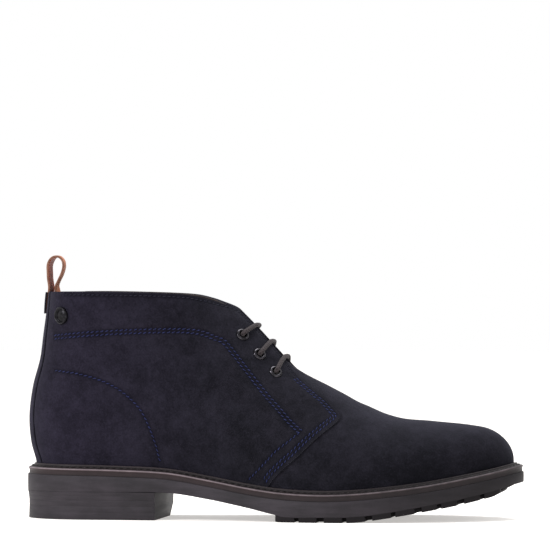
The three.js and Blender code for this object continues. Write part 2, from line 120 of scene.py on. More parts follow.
# %% Tables of the last
HEEL_START = 4.8
UPPER_LENGTH = 289.6
TIP = HEEL_START + UPPER_LENGTH
HEEL_ROUND = 33
TOE_ROUND = 47
TOE_RISE = 20
TOE_RISE_POWER = 2.2
TOE_SWING = 7
SWING_FROM = 130
SEAM_REACH = 95
SWELL_FROM = 175
SWELL_TO = 95
THROAT_HALF = 6
THROAT_END = 158.5
WALL = 2.2


def table(names, *rows):
    """Rows of numbers with named columns."""
    return [dict(zip(names.split(), row)) for row in rows]


SECTIONS = table(
    "x outer inner edge ridge under full bulge",
    (0, 29.0, 29.0, 34.0, 400, 16.6, 2.4, 0),
    (30, 29.6, 29.4, 33.7, 310, 16.6, 2.4, 0),
    (60, 30.4, 29.4, 33.1, 232, 16.6, 2.3, 0),
    (90, 32.0, 29.4, 31.7, 178, 16.6, 2.15, 1),
    (115, 34.6, 30.2, 27.7, 141.2, 13.1, 2.0, 2.5),
    (140, 38.8, 33.4, 23.2, 114.3, 8.2, 1.95, 3.5),
    (160, 42.6, 38.0, 20.6, 93.1, 4.0, 2.0, 4),
    (185, 46.6, 43.8, 19.6, 78.9, 3.9, 2.05, 4),
    (205, 47.0, 46.0, 20.4, 69.0, 4.3, 2.1, 4),
    (225, 45.2, 45.8, 22.3, 61.0, 6.9, 2.15, 3.5),
    (245, 41.6, 43.0, 24.9, 58.9, 10.4, 2.2, 3),
    (265, 36.8, 38.4, 28.4, 57.0, 14.2, 2.25, 2.5),
    (285, 32.0, 33.4, 32.5, 54.2, 18.9, 2.3, 2),
    (305, 28.0, 29.0, 37.5, 52.0, 23.8, 2.3, 2),
)
BACK = table(
    "up seam swell",
    (-12, 6.2, -2.4),
    (0, 4.8, 0),
    (12, 1.6, 2.2),
    (28, 0.3, 3.6),
    (45, 2.6, 3.6),
    (62, 7.0, 3.4),
    (78, 9.2, 4.4),
    (92, 11.3, 6.2),
    (106, 13.2, 8.2),
)
COLLAR = table(
    "x z",
    (-20, 136.4),
    (30, 137.0),
    (70, 136.6),
    (98, 135.4),
    (110, 133.3),
    (119, 130.2),
    (127, 126.0),
    (136, 118.8),
    (150, 116.0),
    (330, 116.0),
)


def clamp(value, low=0.0, high=1.0):
    return max(low, min(high, value))


def ease(value):
    """From 0 to 1 with a soft start and a soft end."""
    t = clamp(value)
    return t * t * (3 - 2 * t)


def curve_of(rows, across, up):
    """A smooth curve through one column of a table, as a function of another."""
    places = [row[across] for row in rows]
    values = [row[up] for row in rows]
    last = len(rows) - 1
    slopes = []
    for i in range(last + 1):
        before, after = max(0, i - 1), min(last, i + 1)
        slopes.append((values[after] - values[before]) / (places[after] - places[before]))

    def at(place):
        i = 0
        while i < last - 1 and place > places[i + 1]:
            i += 1
        step = places[i + 1] - places[i]
        t = clamp((place - places[i]) / step)
        eased = values[i] + t * t * (3 - 2 * t) * (values[i + 1] - values[i])
        return eased + step * t * (1 - t) * ((1 - t) * slopes[i] - t * slopes[i + 1])

    return at


section = {name: curve_of(SECTIONS, "x", name) for name in list(SECTIONS[0])[1:]}
seam_at = curve_of(BACK, "up", "seam")
swell_at = curve_of(BACK, "up", "swell")
collar_at = curve_of(COLLAR, "x", "z")
print("ridge over the ball of the foot:", round(section["ridge"](205), 1), "mm")

# %% [markdown]
# The outline closes at the heel and the toe as a quarter of an oval does. Every section is an oval too,
# squarer where it is fuller. A point of the last is named by its place along the foot and its share of the
# way from the lower edge up to the ridge; `side_point` finds the same point from where it is seen from
# the side, which is how seams are marked on a panel.

# %% Outline of the last
SIDES = {"outer": -1, "inner": 1}


def side_of(across):
    """The side of a place across the boot, which is below 0 on the outer side."""
    return "outer" if across < 0 else "inner"


def closer_at_ends(u):
    """From 0 to 1, in steps that are smaller near both ends."""
    return (1 - math.cos(math.pi * u)) / 2


def quarter_oval(t, power=2.0):
    if t >= 1:
        return 1.0
    return (1 - (1 - max(t, 0.0)) ** power) ** (1 / power)


def midline(x):
    return TOE_SWING * max(0.0, (x - SWING_FROM) / (TIP - SWING_FROM)) ** 2


def ridge_height(x):
    low = section["edge"](x)
    return low + (section["ridge"](x) - low) * quarter_oval((TIP - x) / TOE_RISE, TOE_RISE_POWER)


def half_width(x, side, reach=0.0, more=0.0):
    """Half the outline's width beyond the midline. reach widens the whole outline, more only this place."""
    back = quarter_oval((x - HEEL_START + reach) / (HEEL_ROUND + reach))
    toe = quarter_oval((TIP + reach - x) / (TOE_ROUND + reach))
    return (section[side](x) + reach + more) * back * toe


def outline_x(share, reach):
    """A place along the outline's length, from the heel at 0 to the toe at 1."""
    return HEEL_START - reach + (UPPER_LENGTH + 2 * reach) * closer_at_ends(share)


def lean_at(along, z):
    fade = max(0.0, 1 - (along - HEEL_START) / SEAM_REACH) ** 2
    return (seam_at(z - section["edge"](along)) - HEEL_START) * fade

# %% [markdown]
# With the outline done, a section gives the rest. The ankle swells and the walls bulge a little beyond
# the oval, as leather does over a last.

# %% Points
def last_point(along, z, tall, side):
    """The point at height z of the section at along. tall is its share of the section's height."""
    full = section["full"](along)
    across = max(0.0, 1 - tall**full) ** (1 / full)
    ankle = ease((SWELL_FROM - along) / (SWELL_FROM - SWELL_TO))
    swell = ankle * swell_at(z - section["edge"](along))
    bulge = section["bulge"](along) * math.sin(math.pi * tall)
    half = across * half_width(along, side, 0, swell + bulge)
    return Vector((along + lean_at(along, z), midline(along) + SIDES[side] * half, z))


def shared_point(along, share, side):
    """share is 0 at the lower edge and 1 on the ridge. Below 0 it goes straight down, 25 mm for each 1."""
    low = section["edge"](along)
    if share < 0:
        return last_point(along, low + 25 * share, 0, side)
    tall = math.sin(share * math.pi / 2) ** (2 / section["full"](along))
    return last_point(along, low + (ridge_height(along) - low) * tall, tall, side)


def along_of(x, z):
    along = x
    for _ in range(5):
        along = x - lean_at(along, z)
    return along


def tall_of(along, z):
    low = section["edge"](along)
    return clamp((z - low) / max(ridge_height(along) - low, 0.01))


def side_point(x, z, side):
    along = along_of(x, z)
    return last_point(along, z, tall_of(along, z), side)


print("ball width:", round(half_width(205, "outer") + half_width(205, "inner"), 1), "mm")

# %% [markdown]
# ## Making sheets and solids
#
# A sheet starts as a flat grid and each of its points moves to its place, so its rows follow the panel's
# outline. A sheet is then pushed along its own normals, which keeps its distance from the last even where
# the last is steep. A solid such as the sole is a grid too, wrapped into a tube whose ends are closed.
# Everything is worked out in millimetres from the back of the sole and moved to the boot's own frame last.

# %% Sheets
TO_BOOT = Matrix.Scale(MM, 4) @ Matrix.Translation((-149.6, -1.04, 0))
HEART = Vector((120, 0, 45))


def face_outwards(bm, heart):
    """Turns the faces round if most of their area looks towards heart."""
    outward = sum(face.normal.dot(face.calc_center_median() - heart) * face.calc_area() for face in bm.faces)
    if outward < 0:
        bmesh.ops.reverse_faces(bm, faces=bm.faces)
    bm.normal_update()


def sheet(columns, rows, place):
    """A grid whose point at (u, v), each from 0 to 1, stands at place(u, v). Its faces point outwards."""
    bm = bmesh.new()
    bmesh.ops.create_grid(bm, x_segments=columns, y_segments=rows, size=0.5, calc_uvs=False)
    uv = bm.loops.layers.uv.new("UVMap")
    for face in bm.faces:
        for loop in face.loops:
            loop[uv].uv = (loop.vert.co.x + 0.5, loop.vert.co.y + 0.5)
    for vert in bm.verts:
        vert.co = place(vert.co.x + 0.5, vert.co.y + 0.5)
    bmesh.ops.remove_doubles(bm, verts=bm.verts, dist=0.002)
    bm.normal_update()
    face_outwards(bm, HEART)
    return bm


def lift_sheet(bm, lift):
    """Pushes each point along its normal by lift(point) millimetres."""
    moves = [(vert, vert.normal * lift(vert.co)) for vert in bm.verts]
    for vert, move in moves:
        vert.co += move
    bm.normal_update()


def loft(rails, stations):
    """A closed solid. A rail is a function from 0 at its back end to 1 at its front end."""
    around = len(rails)
    bm = sheet(stations, around, lambda u, v: rails[round(v * around) % around](u))
    ends = [edge for edge in bm.edges if edge.is_boundary]
    if ends:
        bmesh.ops.holes_fill(bm, edges=ends)
    bmesh.ops.recalc_face_normals(bm, faces=bm.faces)
    return bm


def join_into(bm, other):
    """Adds another bmesh's faces to bm."""
    mesh = bpy.data.meshes.new("joined")
    other.to_mesh(mesh)
    other.free()
    bm.from_mesh(mesh)
    bpy.data.meshes.remove(mesh)

# %% [markdown]
# A finished piece is moved into the boot's frame and rides on the boot, and it may stand for nodes of the
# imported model. Its thickness and its rounded edges are modifiers, so the sheet itself stays simple.

# %% Finished pieces
def finish_piece(name, bm, materials, stands_for=()):
    """Moves the bmesh into the boot's frame and makes it an object that rides on the boot."""
    bmesh.ops.transform(bm, matrix=TO_BOOT, verts=bm.verts)
    mesh = bpy.data.meshes.new(name)
    bm.to_mesh(mesh)
    bm.free()
    mesh.shade_smooth()
    for material in materials:
        mesh.materials.append(material)
    piece = bpy.data.objects.new(name, mesh)
    bpy.context.collection.objects.link(piece)
    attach(piece, "root")
    if stands_for:
        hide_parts(*stands_for)
    print(name, len(mesh.polygons), "faces")
    return piece


def round_edges(piece, width, angle=50):
    """Rounds each edge where two faces meet at more than the angle in degrees."""
    bevel = piece.modifiers.new("round edge", "BEVEL")
    bevel.width = width * MM
    bevel.segments = 2
    bevel.limit_method = "ANGLE"
    bevel.angle_limit = math.radians(angle)


def give_thickness(piece, thickness, offset=-1, round_edge=0.3, rim=0, back=0):
    """Makes a sheet thick and rounds its cut edges. rim and back count on to the material that they take."""
    solidify = piece.modifiers.new("thickness", "SOLIDIFY")
    solidify.thickness = thickness * MM
    solidify.offset = offset
    solidify.material_offset_rim = rim
    solidify.material_offset = back
    round_edges(piece, round_edge)

# %% [markdown]
# ## Finishes
#
# A finish is a small calculation on the surface: noise and waves give numbers, and the numbers choose
# between colours, roughness and bumps. To write it as arithmetic, a small class wraps a node's output and
# turns +, - and * into Math nodes.

# %% Arithmetic with sockets
class Wire:
    """An output of a node that can be added, subtracted and multiplied."""

    def __init__(self, finish, socket):
        self.finish = finish
        self.socket = socket

    def axis(self, name):
        """One number of a vector."""
        return self.finish.node("SeparateXYZ", {}, {"Vector": self}, output=name)

    def math(self, operation, first, second):
        return self.finish.node("Math", {"operation": operation}, {0: first, 1: second})

    def __add__(self, other):
        return self.math("ADD", self, other)

    def __sub__(self, other):
        return self.math("SUBTRACT", self, other)

    def __rsub__(self, other):
        return self.math("SUBTRACT", other, self)

    def __mul__(self, other):
        return self.math("MULTIPLY", self, other)

    __radd__ = __add__
    __rmul__ = __mul__

    def between(self, low, high):
        """0 below low, 1 above high and a soft step in between."""
        settings = {"interpolation_type": "SMOOTHSTEP"}
        return self.finish.node("MapRange", settings, {"Value": self, "From Min": low, "From Max": high})

# %% [markdown]
# A finish owns one material. Its method `node` adds any node: its settings are set first, and then the
# values or links of its sockets. What is the same all over the surface is set on the shader itself.

# %% A material
class Finish:
    """A material, with one method that adds any node to it."""

    def __init__(self, name, **constants):
        self.material = bpy.data.materials.new(name)
        self.material.use_nodes = True
        self.tree = self.material.node_tree
        self.shader = self.tree.nodes["Principled BSDF"]
        for socket, value in constants.items():
            self.shader.inputs[socket.replace("_", " ")].default_value = value

    def node(self, kind, settings=None, inputs=None, output=0):
        node = self.tree.nodes.new("ShaderNode" + kind)
        for name, value in (settings or {}).items():
            if name == "stops":
                self.set_stops(node.color_ramp, value)
            else:
                setattr(node, name, value)
        for name, value in (inputs or {}).items():
            if isinstance(value, Wire):
                self.tree.links.new(value.socket, node.inputs[name])
            else:
                node.inputs[name].default_value = value
        return Wire(self, node.outputs[output])

    def set_stops(self, ramp, stops):
        for place, color in stops[2:]:
            ramp.elements.new(place)
        for element, (place, color) in zip(ramp.elements, stops):
            element.position = place
            element.color = color

    def feed(self, socket, wire):
        self.tree.links.new(wire.socket, self.shader.inputs[socket])

    def place(self, scale=(1, 1, 1)):
        """Object coordinates, stretched by scale."""
        point = self.node("TexCoord", output="Object")
        return self.node("Mapping", {"vector_type": "POINT"}, {"Vector": point, "Scale": scale})

    def noise(self, where, scale, detail=3, roughness=0.6):
        inputs = {"Vector": where, "Scale": scale, "Detail": detail, "Roughness": roughness}
        return self.node("TexNoise", {}, inputs)

    def mix(self, share, first, second):
        """The first colour where share is 0 and the second where it is 1."""
        settings = {"data_type": "RGBA"}
        return self.node("Mix", settings, {0: share, 6: first, 7: second}, output=2)

    def bump(self, height, strength, distance):
        inputs = {"Height": height, "Strength": strength, "Distance": distance * MM}
        self.feed("Normal", self.node("Bump", {}, inputs))


def rgb(red, green, blue):
    """A colour as it is seen, from 0 to 255, as the light that the shader works with."""
    seen = [number / 255 for number in (red, green, blue)]
    return (*(c / 12.92 if c < 0.04045 else ((c + 0.055) / 1.055) ** 2.4 for c in seen), 1.0)


# %% [markdown]
# Suede is the brushed flesh side of the hide. Its fibres lie in different directions from place to
# place, so it is cloudy at the scale of a fingertip and grainy at the scale of a hair. Fibres that stand up
# catch light at the edges of the form, which is what the shader's sheen does.

# %% Suede
def suede(name, rear, front, nap_height=0.3):
    """rear and front are pairs of a dark and a light colour: the hide is bluer at the heel, greyer at the toe, and
    the front pair is darker, a painted shade.
    """
    sheen = {"Sheen_Weight": 0.07, "Sheen_Roughness": 0.5, "Sheen_Tint": rgb(190, 190, 215)}
    finish = Finish(name, Roughness=0.95, Specular_IOR_Level=0.05, **sheen)
    where = finish.place()
    along, height = where.axis("X"), where.axis("Z")
    # Painted shade: the colour moves from the rear pair to the darker front pair, as if light fell from the heel
    # side.
    forward = along.between(-0.13, 0.0)
    # Painted shade low on the toe, and a painted highlight on its top where the light falls.
    painted_toe_shade = along.between(0.04, 0.1) * height.between(0.052, 0.028)
    painted_toe_highlight = along.between(0.03, 0.09) * height.between(0.045, 0.062)
    clouds = finish.noise(where, 55, 4, 0.65)
    patches = finish.noise(where, 210, 3, 0.65)
    nap = finish.noise(where, 900, 4, 0.8)
    tone = clouds * 0.5 + patches * 0.3 + nap * 0.55 + painted_toe_highlight * 0.1 - painted_toe_shade * 0.1
    share = tone.between(0.46, 0.92)
    color = finish.mix(forward, finish.mix(share, *rear), finish.mix(share, *front))
    specks = finish.noise(where, 2600, 2, 0.5).between(0.62, 0.75)
    seam = finish.node("Attribute", {"attribute_name": "seam"}, output="Fac")
    color = finish.mix(specks * 0.3, color, rgb(60, 58, 68))
    # Painted shade: nearly black along the seams, in the channels that the thread presses down.
    finish.feed("Base Color", finish.mix(seam * 0.75, color, rgb(5, 5, 11)))
    finish.bump(nap * 0.9 + patches * 0.6 + clouds * 0.6, 0.6, nap_height)
    return finish.material


# The front pair is darker than the rear pair: painted shade over the hide's own change from blue to grey.
blue_suede = suede("blue suede", (rgb(15, 13, 21), rgb(35, 32, 44)), (rgb(8, 8, 12), rgb(28, 27, 34)))
# The cut edge is paler: partly the raw hide's own colour, partly a painted highlight where the edge catches light.
cut_suede_and_highlight = suede("cut edge of suede", (rgb(22, 21, 27), rgb(42, 41, 49)), (rgb(20, 20, 25), rgb(42, 40, 47)))

# %% [markdown]
# Thread, cotton lace and lining are plain colours with a twist, a braid or a grain. The braid follows the
# lace, so it reads the lace's own UV map.

# %% Thread and lace
def thread(name, dark, light):
    finish = Finish(name, Roughness=0.7, Specular_IOR_Level=0.15)
    fibre = finish.noise(finish.place(), 1800, 2)
    finish.feed("Base Color", finish.mix(fibre.between(0.3, 0.7), dark, light))
    finish.bump(fibre, 0.4, 0.1)
    return finish.material


def braid(name, dark, light):
    """Two sets of strands around the cord, crossing each other."""
    finish = Finish(name, Roughness=0.85, Sheen_Weight=0.05, Specular_IOR_Level=0.15)
    uv = finish.node("TexCoord", output="UV")
    turn = uv.axis("Y") * (4 * 2 * math.pi)
    run = uv.axis("X") * LACE_WAVES
    right = finish.node("Math", {"operation": "SINE"}, {0: run + turn})
    left = finish.node("Math", {"operation": "SINE"}, {0: run - turn})
    strands = finish.node("Math", {"operation": "MAXIMUM"}, {0: right, 1: left})
    fibre = finish.noise(finish.place(), 2500, 2)
    tone = strands * 0.35 + fibre * 0.5
    finish.feed("Base Color", finish.mix(tone.between(-0.3, 0.8), dark, light))
    finish.bump(strands + fibre * 0.6, 0.5, 0.2)
    return finish.material

# %% [markdown]
# Leather has small cells in its grain and clouds of tone over them.

# %% Leather, and the small pieces' finishes
def leather(name, dark, light, roughness=0.55, grain=900):
    finish = Finish(name, Roughness=roughness, Specular_IOR_Level=0.12)
    where = finish.place()
    cells = finish.node("TexVoronoi", {}, {"Vector": where, "Scale": grain})
    clouds = finish.noise(where, 120, 4)
    tone = clouds * 0.9 + cells * 0.12
    finish.feed("Base Color", finish.mix(tone.between(0.3, 0.85), dark, light))
    finish.bump(cells, 0.35, 0.08)
    return finish.material


LACE_WAVES = 1000
navy_thread = thread("navy thread", rgb(12, 14, 38), rgb(31, 38, 78))
dark_thread = thread("dark thread", rgb(12, 12, 20), rgb(28, 28, 42))
welt_thread = thread("welt thread", rgb(20, 17, 18), rgb(48, 42, 44))
dark_cotton = braid("braided cotton", rgb(22, 19, 21), rgb(54, 48, 50))
lining_leather = leather("lining leather", rgb(32, 28, 29), rgb(58, 50, 49))
sock_leather = leather("sock leather", rgb(74, 58, 47), rgb(104, 84, 68), 0.6)
# One tan leather for both faces of the loop: the inner copy is painted darker as shade, the outer copy paler, partly
# its nap and partly painted light.
tan_in_painted_shade = leather("loop, inner face", rgb(132, 60, 38), rgb(162, 86, 60))
tan_nap_and_painted_light = leather("loop, outer face", rgb(144, 88, 62), rgb(182, 120, 90), 0.65)
edge_leather = leather("loop, cut edge", rgb(92, 62, 50), rgb(134, 100, 84), 0.5)

# %% [markdown]
# The sole is one dark rubber. Its side is nearly matt with long faint marks of the mould, and it is painted darker
# towards the toe as shade; the tread is a darker copy of the same rubber, painted shade for its notches. The welt's
# colour changes over its profile: a painted shadow where it tucks under the suede, painted highlights on the bead and
# the lip, painted shade in the stitch channel, and its own reddish band under the lip. The height in the profile is
# the V of its UV map, so a colour ramp paints the bands.

# %% Rubber
def rubber(name, dark, light, roughness=0.55):
    finish = Finish(name, Specular_IOR_Level=0.12)
    long = finish.noise(finish.place((0.25, 0.25, 1.6)), 220, 3)
    grain = finish.noise(finish.place(), 1400, 2)
    clouds = finish.noise(finish.place(), 40, 4)
    tone = long * 0.5 + clouds * 0.6 + grain * 0.15
    # Painted shade: the rubber darkens from the middle of the sole to the toe.
    toe = finish.place().axis("X").between(0.0, 0.13) * 0.7
    color = finish.mix(tone.between(0.35, 0.9), dark, light)
    finish.feed("Base Color", finish.mix(toe, color, rgb(16, 14, 16)))
    finish.feed("Roughness", clouds * 0.2 + (roughness - 0.1))
    finish.bump(grain + long * 0.6, 0.25, 0.08)
    return finish.material

# %% [markdown]
# Noise shakes the height that the ramp reads, so that no band has a ruled edge. Metal is rubbed lighter
# in spots.

# %% Welt rubber and metal
def banded_rubber(name, stops):
    finish = Finish(name, Roughness=0.5, Specular_IOR_Level=0.15)
    grain = finish.noise(finish.place(), 900, 3)
    height = finish.node("TexCoord", output="UV").axis("Y") + (grain - 0.5) * 0.03
    bands = finish.node("ValToRGB", {"stops": stops}, {"Fac": height})
    worn = finish.noise(finish.place(), 160, 4).between(0.35, 0.7) * 0.25
    # Painted shade: the welt darkens towards the toe, on top of the worn spots.
    toe = finish.place().axis("X").between(-0.06, 0.1) * 0.55
    finish.feed("Base Color", finish.mix(worn + toe, bands, rgb(20, 17, 19)))
    finish.bump(grain, 0.3, 0.1)
    return finish.material


def metal(name, dark, light, roughness):
    finish = Finish(name, Metallic=0.9)
    rub = finish.noise(finish.place(), 500, 4)
    finish.feed("Base Color", finish.mix(rub.between(0.35, 0.7), dark, light))
    finish.feed("Roughness", rub * 0.2 + roughness)
    finish.bump(rub, 0.15, 0.05)
    return finish.material


sole_rubber = rubber("sole rubber", rgb(33, 31, 34), rgb(52, 48, 53))
# The tread is a darker copy of the sole's rubber: painted shade, which keeps the notches between the cleats dark.
tread_rubber_painted_dark = rubber("tread rubber", rgb(14, 12, 14), rgb(26, 23, 26), 0.7)
gunmetal = metal("gunmetal", rgb(28, 27, 30), rgb(62, 60, 65), 0.08)
dark_metal = metal("dark metal", rgb(16, 16, 18), rgb(38, 37, 41), 0.3)
print("finishes:", len(bpy.data.materials))

# %% [markdown]
# ## Lines marked on the panels
#
# A pattern maker marks the seams on the last, seen from the side. These are the same lines, in
# millimetres: the quarter's front edge from the welt up to its corner, its short edge back up to the
# throat, and the rows of thread that cross it.

# %% Pattern lines
FRONT_EDGE = [(152.9, 22.3), (156.6, 27.1), (164.1, 33.9), (170.9, 39.8), (179.1, 47.8), (187.6, 55.4), (191.8, 59.0)]
CORNER = [(193.6, 61.3), (193.2, 63.4)]
SHORT_EDGE = [(185.7, 70.5), (178.4, 75.8), (170.3, 81.8), (164.4, 86.7), (160.9, 90.2)]
TOP_SEAM = [(19.0, 110.6), (40.0, 112.5), (68.3, 114.1), (91.4, 114.7), (102.9, 114.4), (110.5, 113.2),
            (118.4, 110.1), (123.7, 107.7), (130.6, 100.0), (138.4, 90.4), (145.3, 82.0), (151.9, 74.3),
            (158.3, 67.8), (164.8, 60.7), (172.4, 54.2)]
FRONT_SEAM = [(171.2, 53.6), (163.2, 47.1), (156.4, 41.8), (150.4, 35.3), (143.9, 28.8), (139.5, 24.7)]
COUNTER_SEAM = [(19.8, 89.5), (33.2, 88.0), (45.3, 85.0), (56.9, 80.3), (66.1, 73.8), (73.6, 66.0), (79.0, 55.7),
                (82.7, 45.2), (85.1, 35.0)]
EYELETS = [(133.0, 110.9), (143.5, 99.2), (153.5, 88.7)]
STUD = (24.8, 122.6)


def smooth_line(points, parts=8):
    """Points along a Catmull-Rom curve through the given ones."""
    points = [Vector(point) for point in points]
    found = []
    for i in range(len(points) - 1):
        a, b = points[max(0, i - 1)], points[i]
        c, d = points[i + 1], points[min(len(points) - 1, i + 2)]
        for k in range(parts):
            t = k / parts
            found.append(
                0.5 * (2 * b + (c - a) * t + (2 * a - 5 * b + 4 * c - d) * t**2 + (3 * b - a - 3 * c + d) * t**3)
            )
    return found + [points[-1]]


def line_reader(points):
    """The point at a share of a line's length, as a function."""
    lengths = [0.0]
    for a, b in zip(points, points[1:]):
        lengths.append(lengths[-1] + (b - a).length)

    def at(share):
        want = clamp(share) * lengths[-1]
        i = 0
        while i < len(points) - 2 and lengths[i + 1] < want:
            i += 1
        gap = max(lengths[i + 1] - lengths[i], 1e-9)
        return points[i].lerp(points[i + 1], clamp((want - lengths[i]) / gap))

    at.length = lengths[-1]
    return at

# %% [markdown]
# Beside the throat the facing's edge keeps its distance from the midline. Its height in side view is
# found by halving: the middle is too low while it lies too far out, and too high otherwise.

# %% Front of the quarter
def facing_point(x, side):
    """Where the facing's edge, beside the throat, is seen from the side."""
    low, high = section["edge"](x), ridge_height(x)
    for _ in range(24):
        middle = (low + high) / 2
        if abs(side_point(x, middle, side).y - midline(x)) > THROAT_HALF:
            low = middle
        else:
            high = middle
    return Vector((x, low))


def facing_top(side):
    """Where the facing's edge meets the top line."""
    x = 140.0
    while facing_point(x, side).y < collar_at(x):
        x -= 0.25
    return x


def front_outline(side):
    """The quarter's front boundary from the welt to the top line, seen from the side."""
    top = facing_top(side)
    facing = [facing_point(x, side) for x in [157 - (157 - top) * i / 8 for i in range(9)]]
    welt_x = FRONT_EDGE[0][0] - 1
    start = Vector((welt_x, section["edge"](welt_x)))
    return smooth_line([start, *FRONT_EDGE, *CORNER, *SHORT_EDGE, *facing])


outlines = {side: front_outline(side) for side in SIDES}
for side in SIDES:
    print(side, "front boundary:", round(line_reader(outlines[side]).length, 1), "mm, seen from the side")

# %% [markdown]
# ## The quarters
#
# A quarter is the panel that wraps the ankle from the heel seam to the throat. Four boundaries hold it:
# the heel seam, the welt, the front outline and the top line. Each inner point is blended from the
# four. Near its front edge the quarter lies on top of the vamp, so it rises there by its own thickness.
# Slow waves and listed folds keep it from looking like a shell: soft leather never lies quite true.

# %% Folds and waves
SKIRT = 2.5
FOLDS = table(
    "x z to_x to_z depth width",
    (112, 124, 128, 98, 0.55, 7),
    (104, 104, 122, 84, 0.35, 9),
    (70, 128, 96, 118, 0.3, 10),
    (58, 98, 92, 88, -0.35, 13),
    (24, 66, 30, 44, 0.3, 9),
    (100, 66, 128, 46, 0.35, 11),
    (128, 60, 150, 44, -0.3, 9),
    (186, 66, 196, 40, 0.45, 5),
    (201, 66, 207, 46, 0.55, 5),
    (214, 62, 218, 48, 0.3, 6),
    (240, 56, 262, 44, -0.25, 12),
)


def fold_depth(point):
    """The folds' depth at a point: each is a soft trough, or with a negative depth a ridge, along a line."""
    total = 0.0
    flat = Vector((point.x, 0, point.z))
    for fold in FOLDS:
        start, end = Vector((fold["x"], 0, fold["z"])), Vector((fold["to_x"], 0, fold["to_z"]))
        nearest, share = intersect_point_line(flat, start, end)
        beyond = max(0.0, -share, share - 1) * (end - start).length
        away = math.hypot((nearest - flat).length, beyond * 0.5)
        total += fold["depth"] * math.exp(-((away / fold["width"]) ** 2))
    return total


def waves(point):
    """Slow unevenness of the stretched leather, under half a millimetre."""
    across = math.sin(point.x / 17 + point.z / 29) * math.sin(point.z / 13 - point.x / 41)
    return 0.22 * across + 0.12 * math.sin(point.x / 7.3 + 2) * math.sin(point.z / 6.1 + point.x / 23)

# %% [markdown]
# The sheet's points stand closer together near the heel seam and the front edge, where the panel bends
# most and where its cut edge is rounded. A narrow skirt below hides behind the welt.

# %% Shape of the quarter
def quarter_point(side, outline, u, v):
    """A point of the quarter. u runs from the heel seam to the front, v from the welt to the top line."""
    share = 0.7 * closer_at_ends(u) + 0.3 * u
    rise = max(0.0, v)
    front, front_low, front_high = outline(rise), outline(0), outline(1)
    back_top = collar_at(14)
    back_low = section["edge"](HEEL_START)
    back_z = back_low + (back_top - back_low) * rise
    back = Vector((HEEL_START + lean_at(HEEL_START, back_z), back_z))
    low_x = HEEL_START + (front_low.x - HEEL_START) * share
    low = Vector((low_x, section["edge"](low_x)))
    corner_x = HEEL_START + lean_at(HEEL_START, back_top)
    high_x = corner_x + (front_high.x - corner_x) * share
    high = Vector((high_x, collar_at(high_x)))
    flat_low = Vector((HEEL_START, back_low)).lerp(front_low, share)
    flat_high = Vector((corner_x, back_top)).lerp(front_high, share)
    seen = back.lerp(front, share) + (low - flat_low) * (1 - rise) + (high - flat_high) * rise
    if v < 0:
        return side_point(seen.x, seen.y - SKIRT * min(1, -v / SKIRT_SHARE), side)
    return side_point(seen.x, seen.y, side)


SKIRT_SHARE = 0.03
EYELET_HOLE = 3.1


def quarter_sheet(side, columns, rows):
    outline = line_reader(outlines[side])
    return sheet(columns, rows, lambda u, v: quarter_point(side, outline, u, v * (1 + SKIRT_SHARE) - SKIRT_SHARE))


def point_tree(points):
    """Finds the nearest of many points."""
    tree = KDTree(len(points))
    for i, point in enumerate(points):
        tree.insert(point, i)
    tree.balance()
    return tree


def punch_holes(bm, side):
    """Takes the faces out of the eyelets' holes."""
    centres = [side_point(x, z, side) for x, z in EYELETS]
    inside = [f for f in bm.faces if any((f.calc_center_median() - c).length < EYELET_HOLE for c in centres)]
    bmesh.ops.delete(bm, geom=inside, context="FACES")


LAP = 16.0
STRIP_HALF = 16.8
edge_trees = {side: point_tree([side_point(p.x, p.y, side) for p in outlines[side]]) for side in SIDES}

# %% [markdown]
# The quarter lies on the vamp near its front edge and under the back strip at the heel, so its distance
# from the last changes on the way.

# %% Lift the quarters
def quarter_lift(side):
    """How far the quarter's face stands off the last."""
    tree = edge_trees[side]

    def lift(point):
        near = 1 - tree.find(point)[2] / LAP
        under_strip = ease((STRIP_HALF + 0.6 - abs(point.y)) / 1.8) * ease((50 - point.x) / 10)
        return 0.35 + 0.85 * ease(near) - 0.8 * under_strip - fold_depth(point) + waves(point)

    return lift


quarters = {}
for side in SIDES:
    quarters[side] = quarter_sheet(side, 230, 140)
    lift_sheet(quarters[side], quarter_lift(side))
    print(side, "quarter:", len(quarters[side].verts), "points")

# %% [markdown]
# ## The vamp
#
# The vamp covers toe and instep. It is one sheet over the ridge, from just under the quarters' front
# edges to the tip, and it ends in a round cut at the bottom of the throat.

# %% Panel of the vamp
VAMP_SKIRT = 0.06
VAMP_LAP = 12


def start_of_vamp():
    """The vamp's hidden back edge, by share of the height: a lap behind the quarter's front edge."""
    rows = []
    for point in outlines["outer"]:
        if point.y > section["edge"](point.x) and point.x > 156 or point.y < 60:
            along = along_of(point.x, point.y)
            tall = tall_of(along, point.y)
            share = math.asin(tall ** (section["full"](along) / 2)) / (math.pi / 2)
            if not rows or share > rows[-1]["share"] + 0.01:
                rows.append({"share": share, "x": point.x})
    return curve_of(rows, "share", "x")


edge_x = start_of_vamp()


def vamp_point(u, v):
    across = (2 * v - 1) * (1 + VAMP_SKIRT)
    side = side_of(across)
    share = 1 - abs(across)
    inside = clamp(share)
    beside = abs(shared_point(155, inside, side).y - midline(155))
    start = edge_x(min(inside, 0.9)) - VAMP_LAP
    if beside < THROAT_HALF:
        start = THROAT_END - THROAT_HALF + math.sqrt(THROAT_HALF**2 - beside**2)
    along = start + (TIP - start) * math.sin(u * math.pi / 2)
    return shared_point(along, share if share >= 0 else share / VAMP_SKIRT * SKIRT / 25, side)


vamp = sheet(190, 130, vamp_point)
lift_sheet(vamp, lambda point: 0.7 * waves(point) - fold_depth(point))
print("vamp:", len(vamp.verts), "points")

# %% [markdown]
# ## Seams
#
# A row of thread presses the suede down, so a seam is a shallow channel with a stitch lying in it every
# three millimetres. Rows drawn in side view are dropped on to the panel by casting rays from the side.
# Rows that keep a distance from an edge are measured on the surface itself, inwards from that edge.

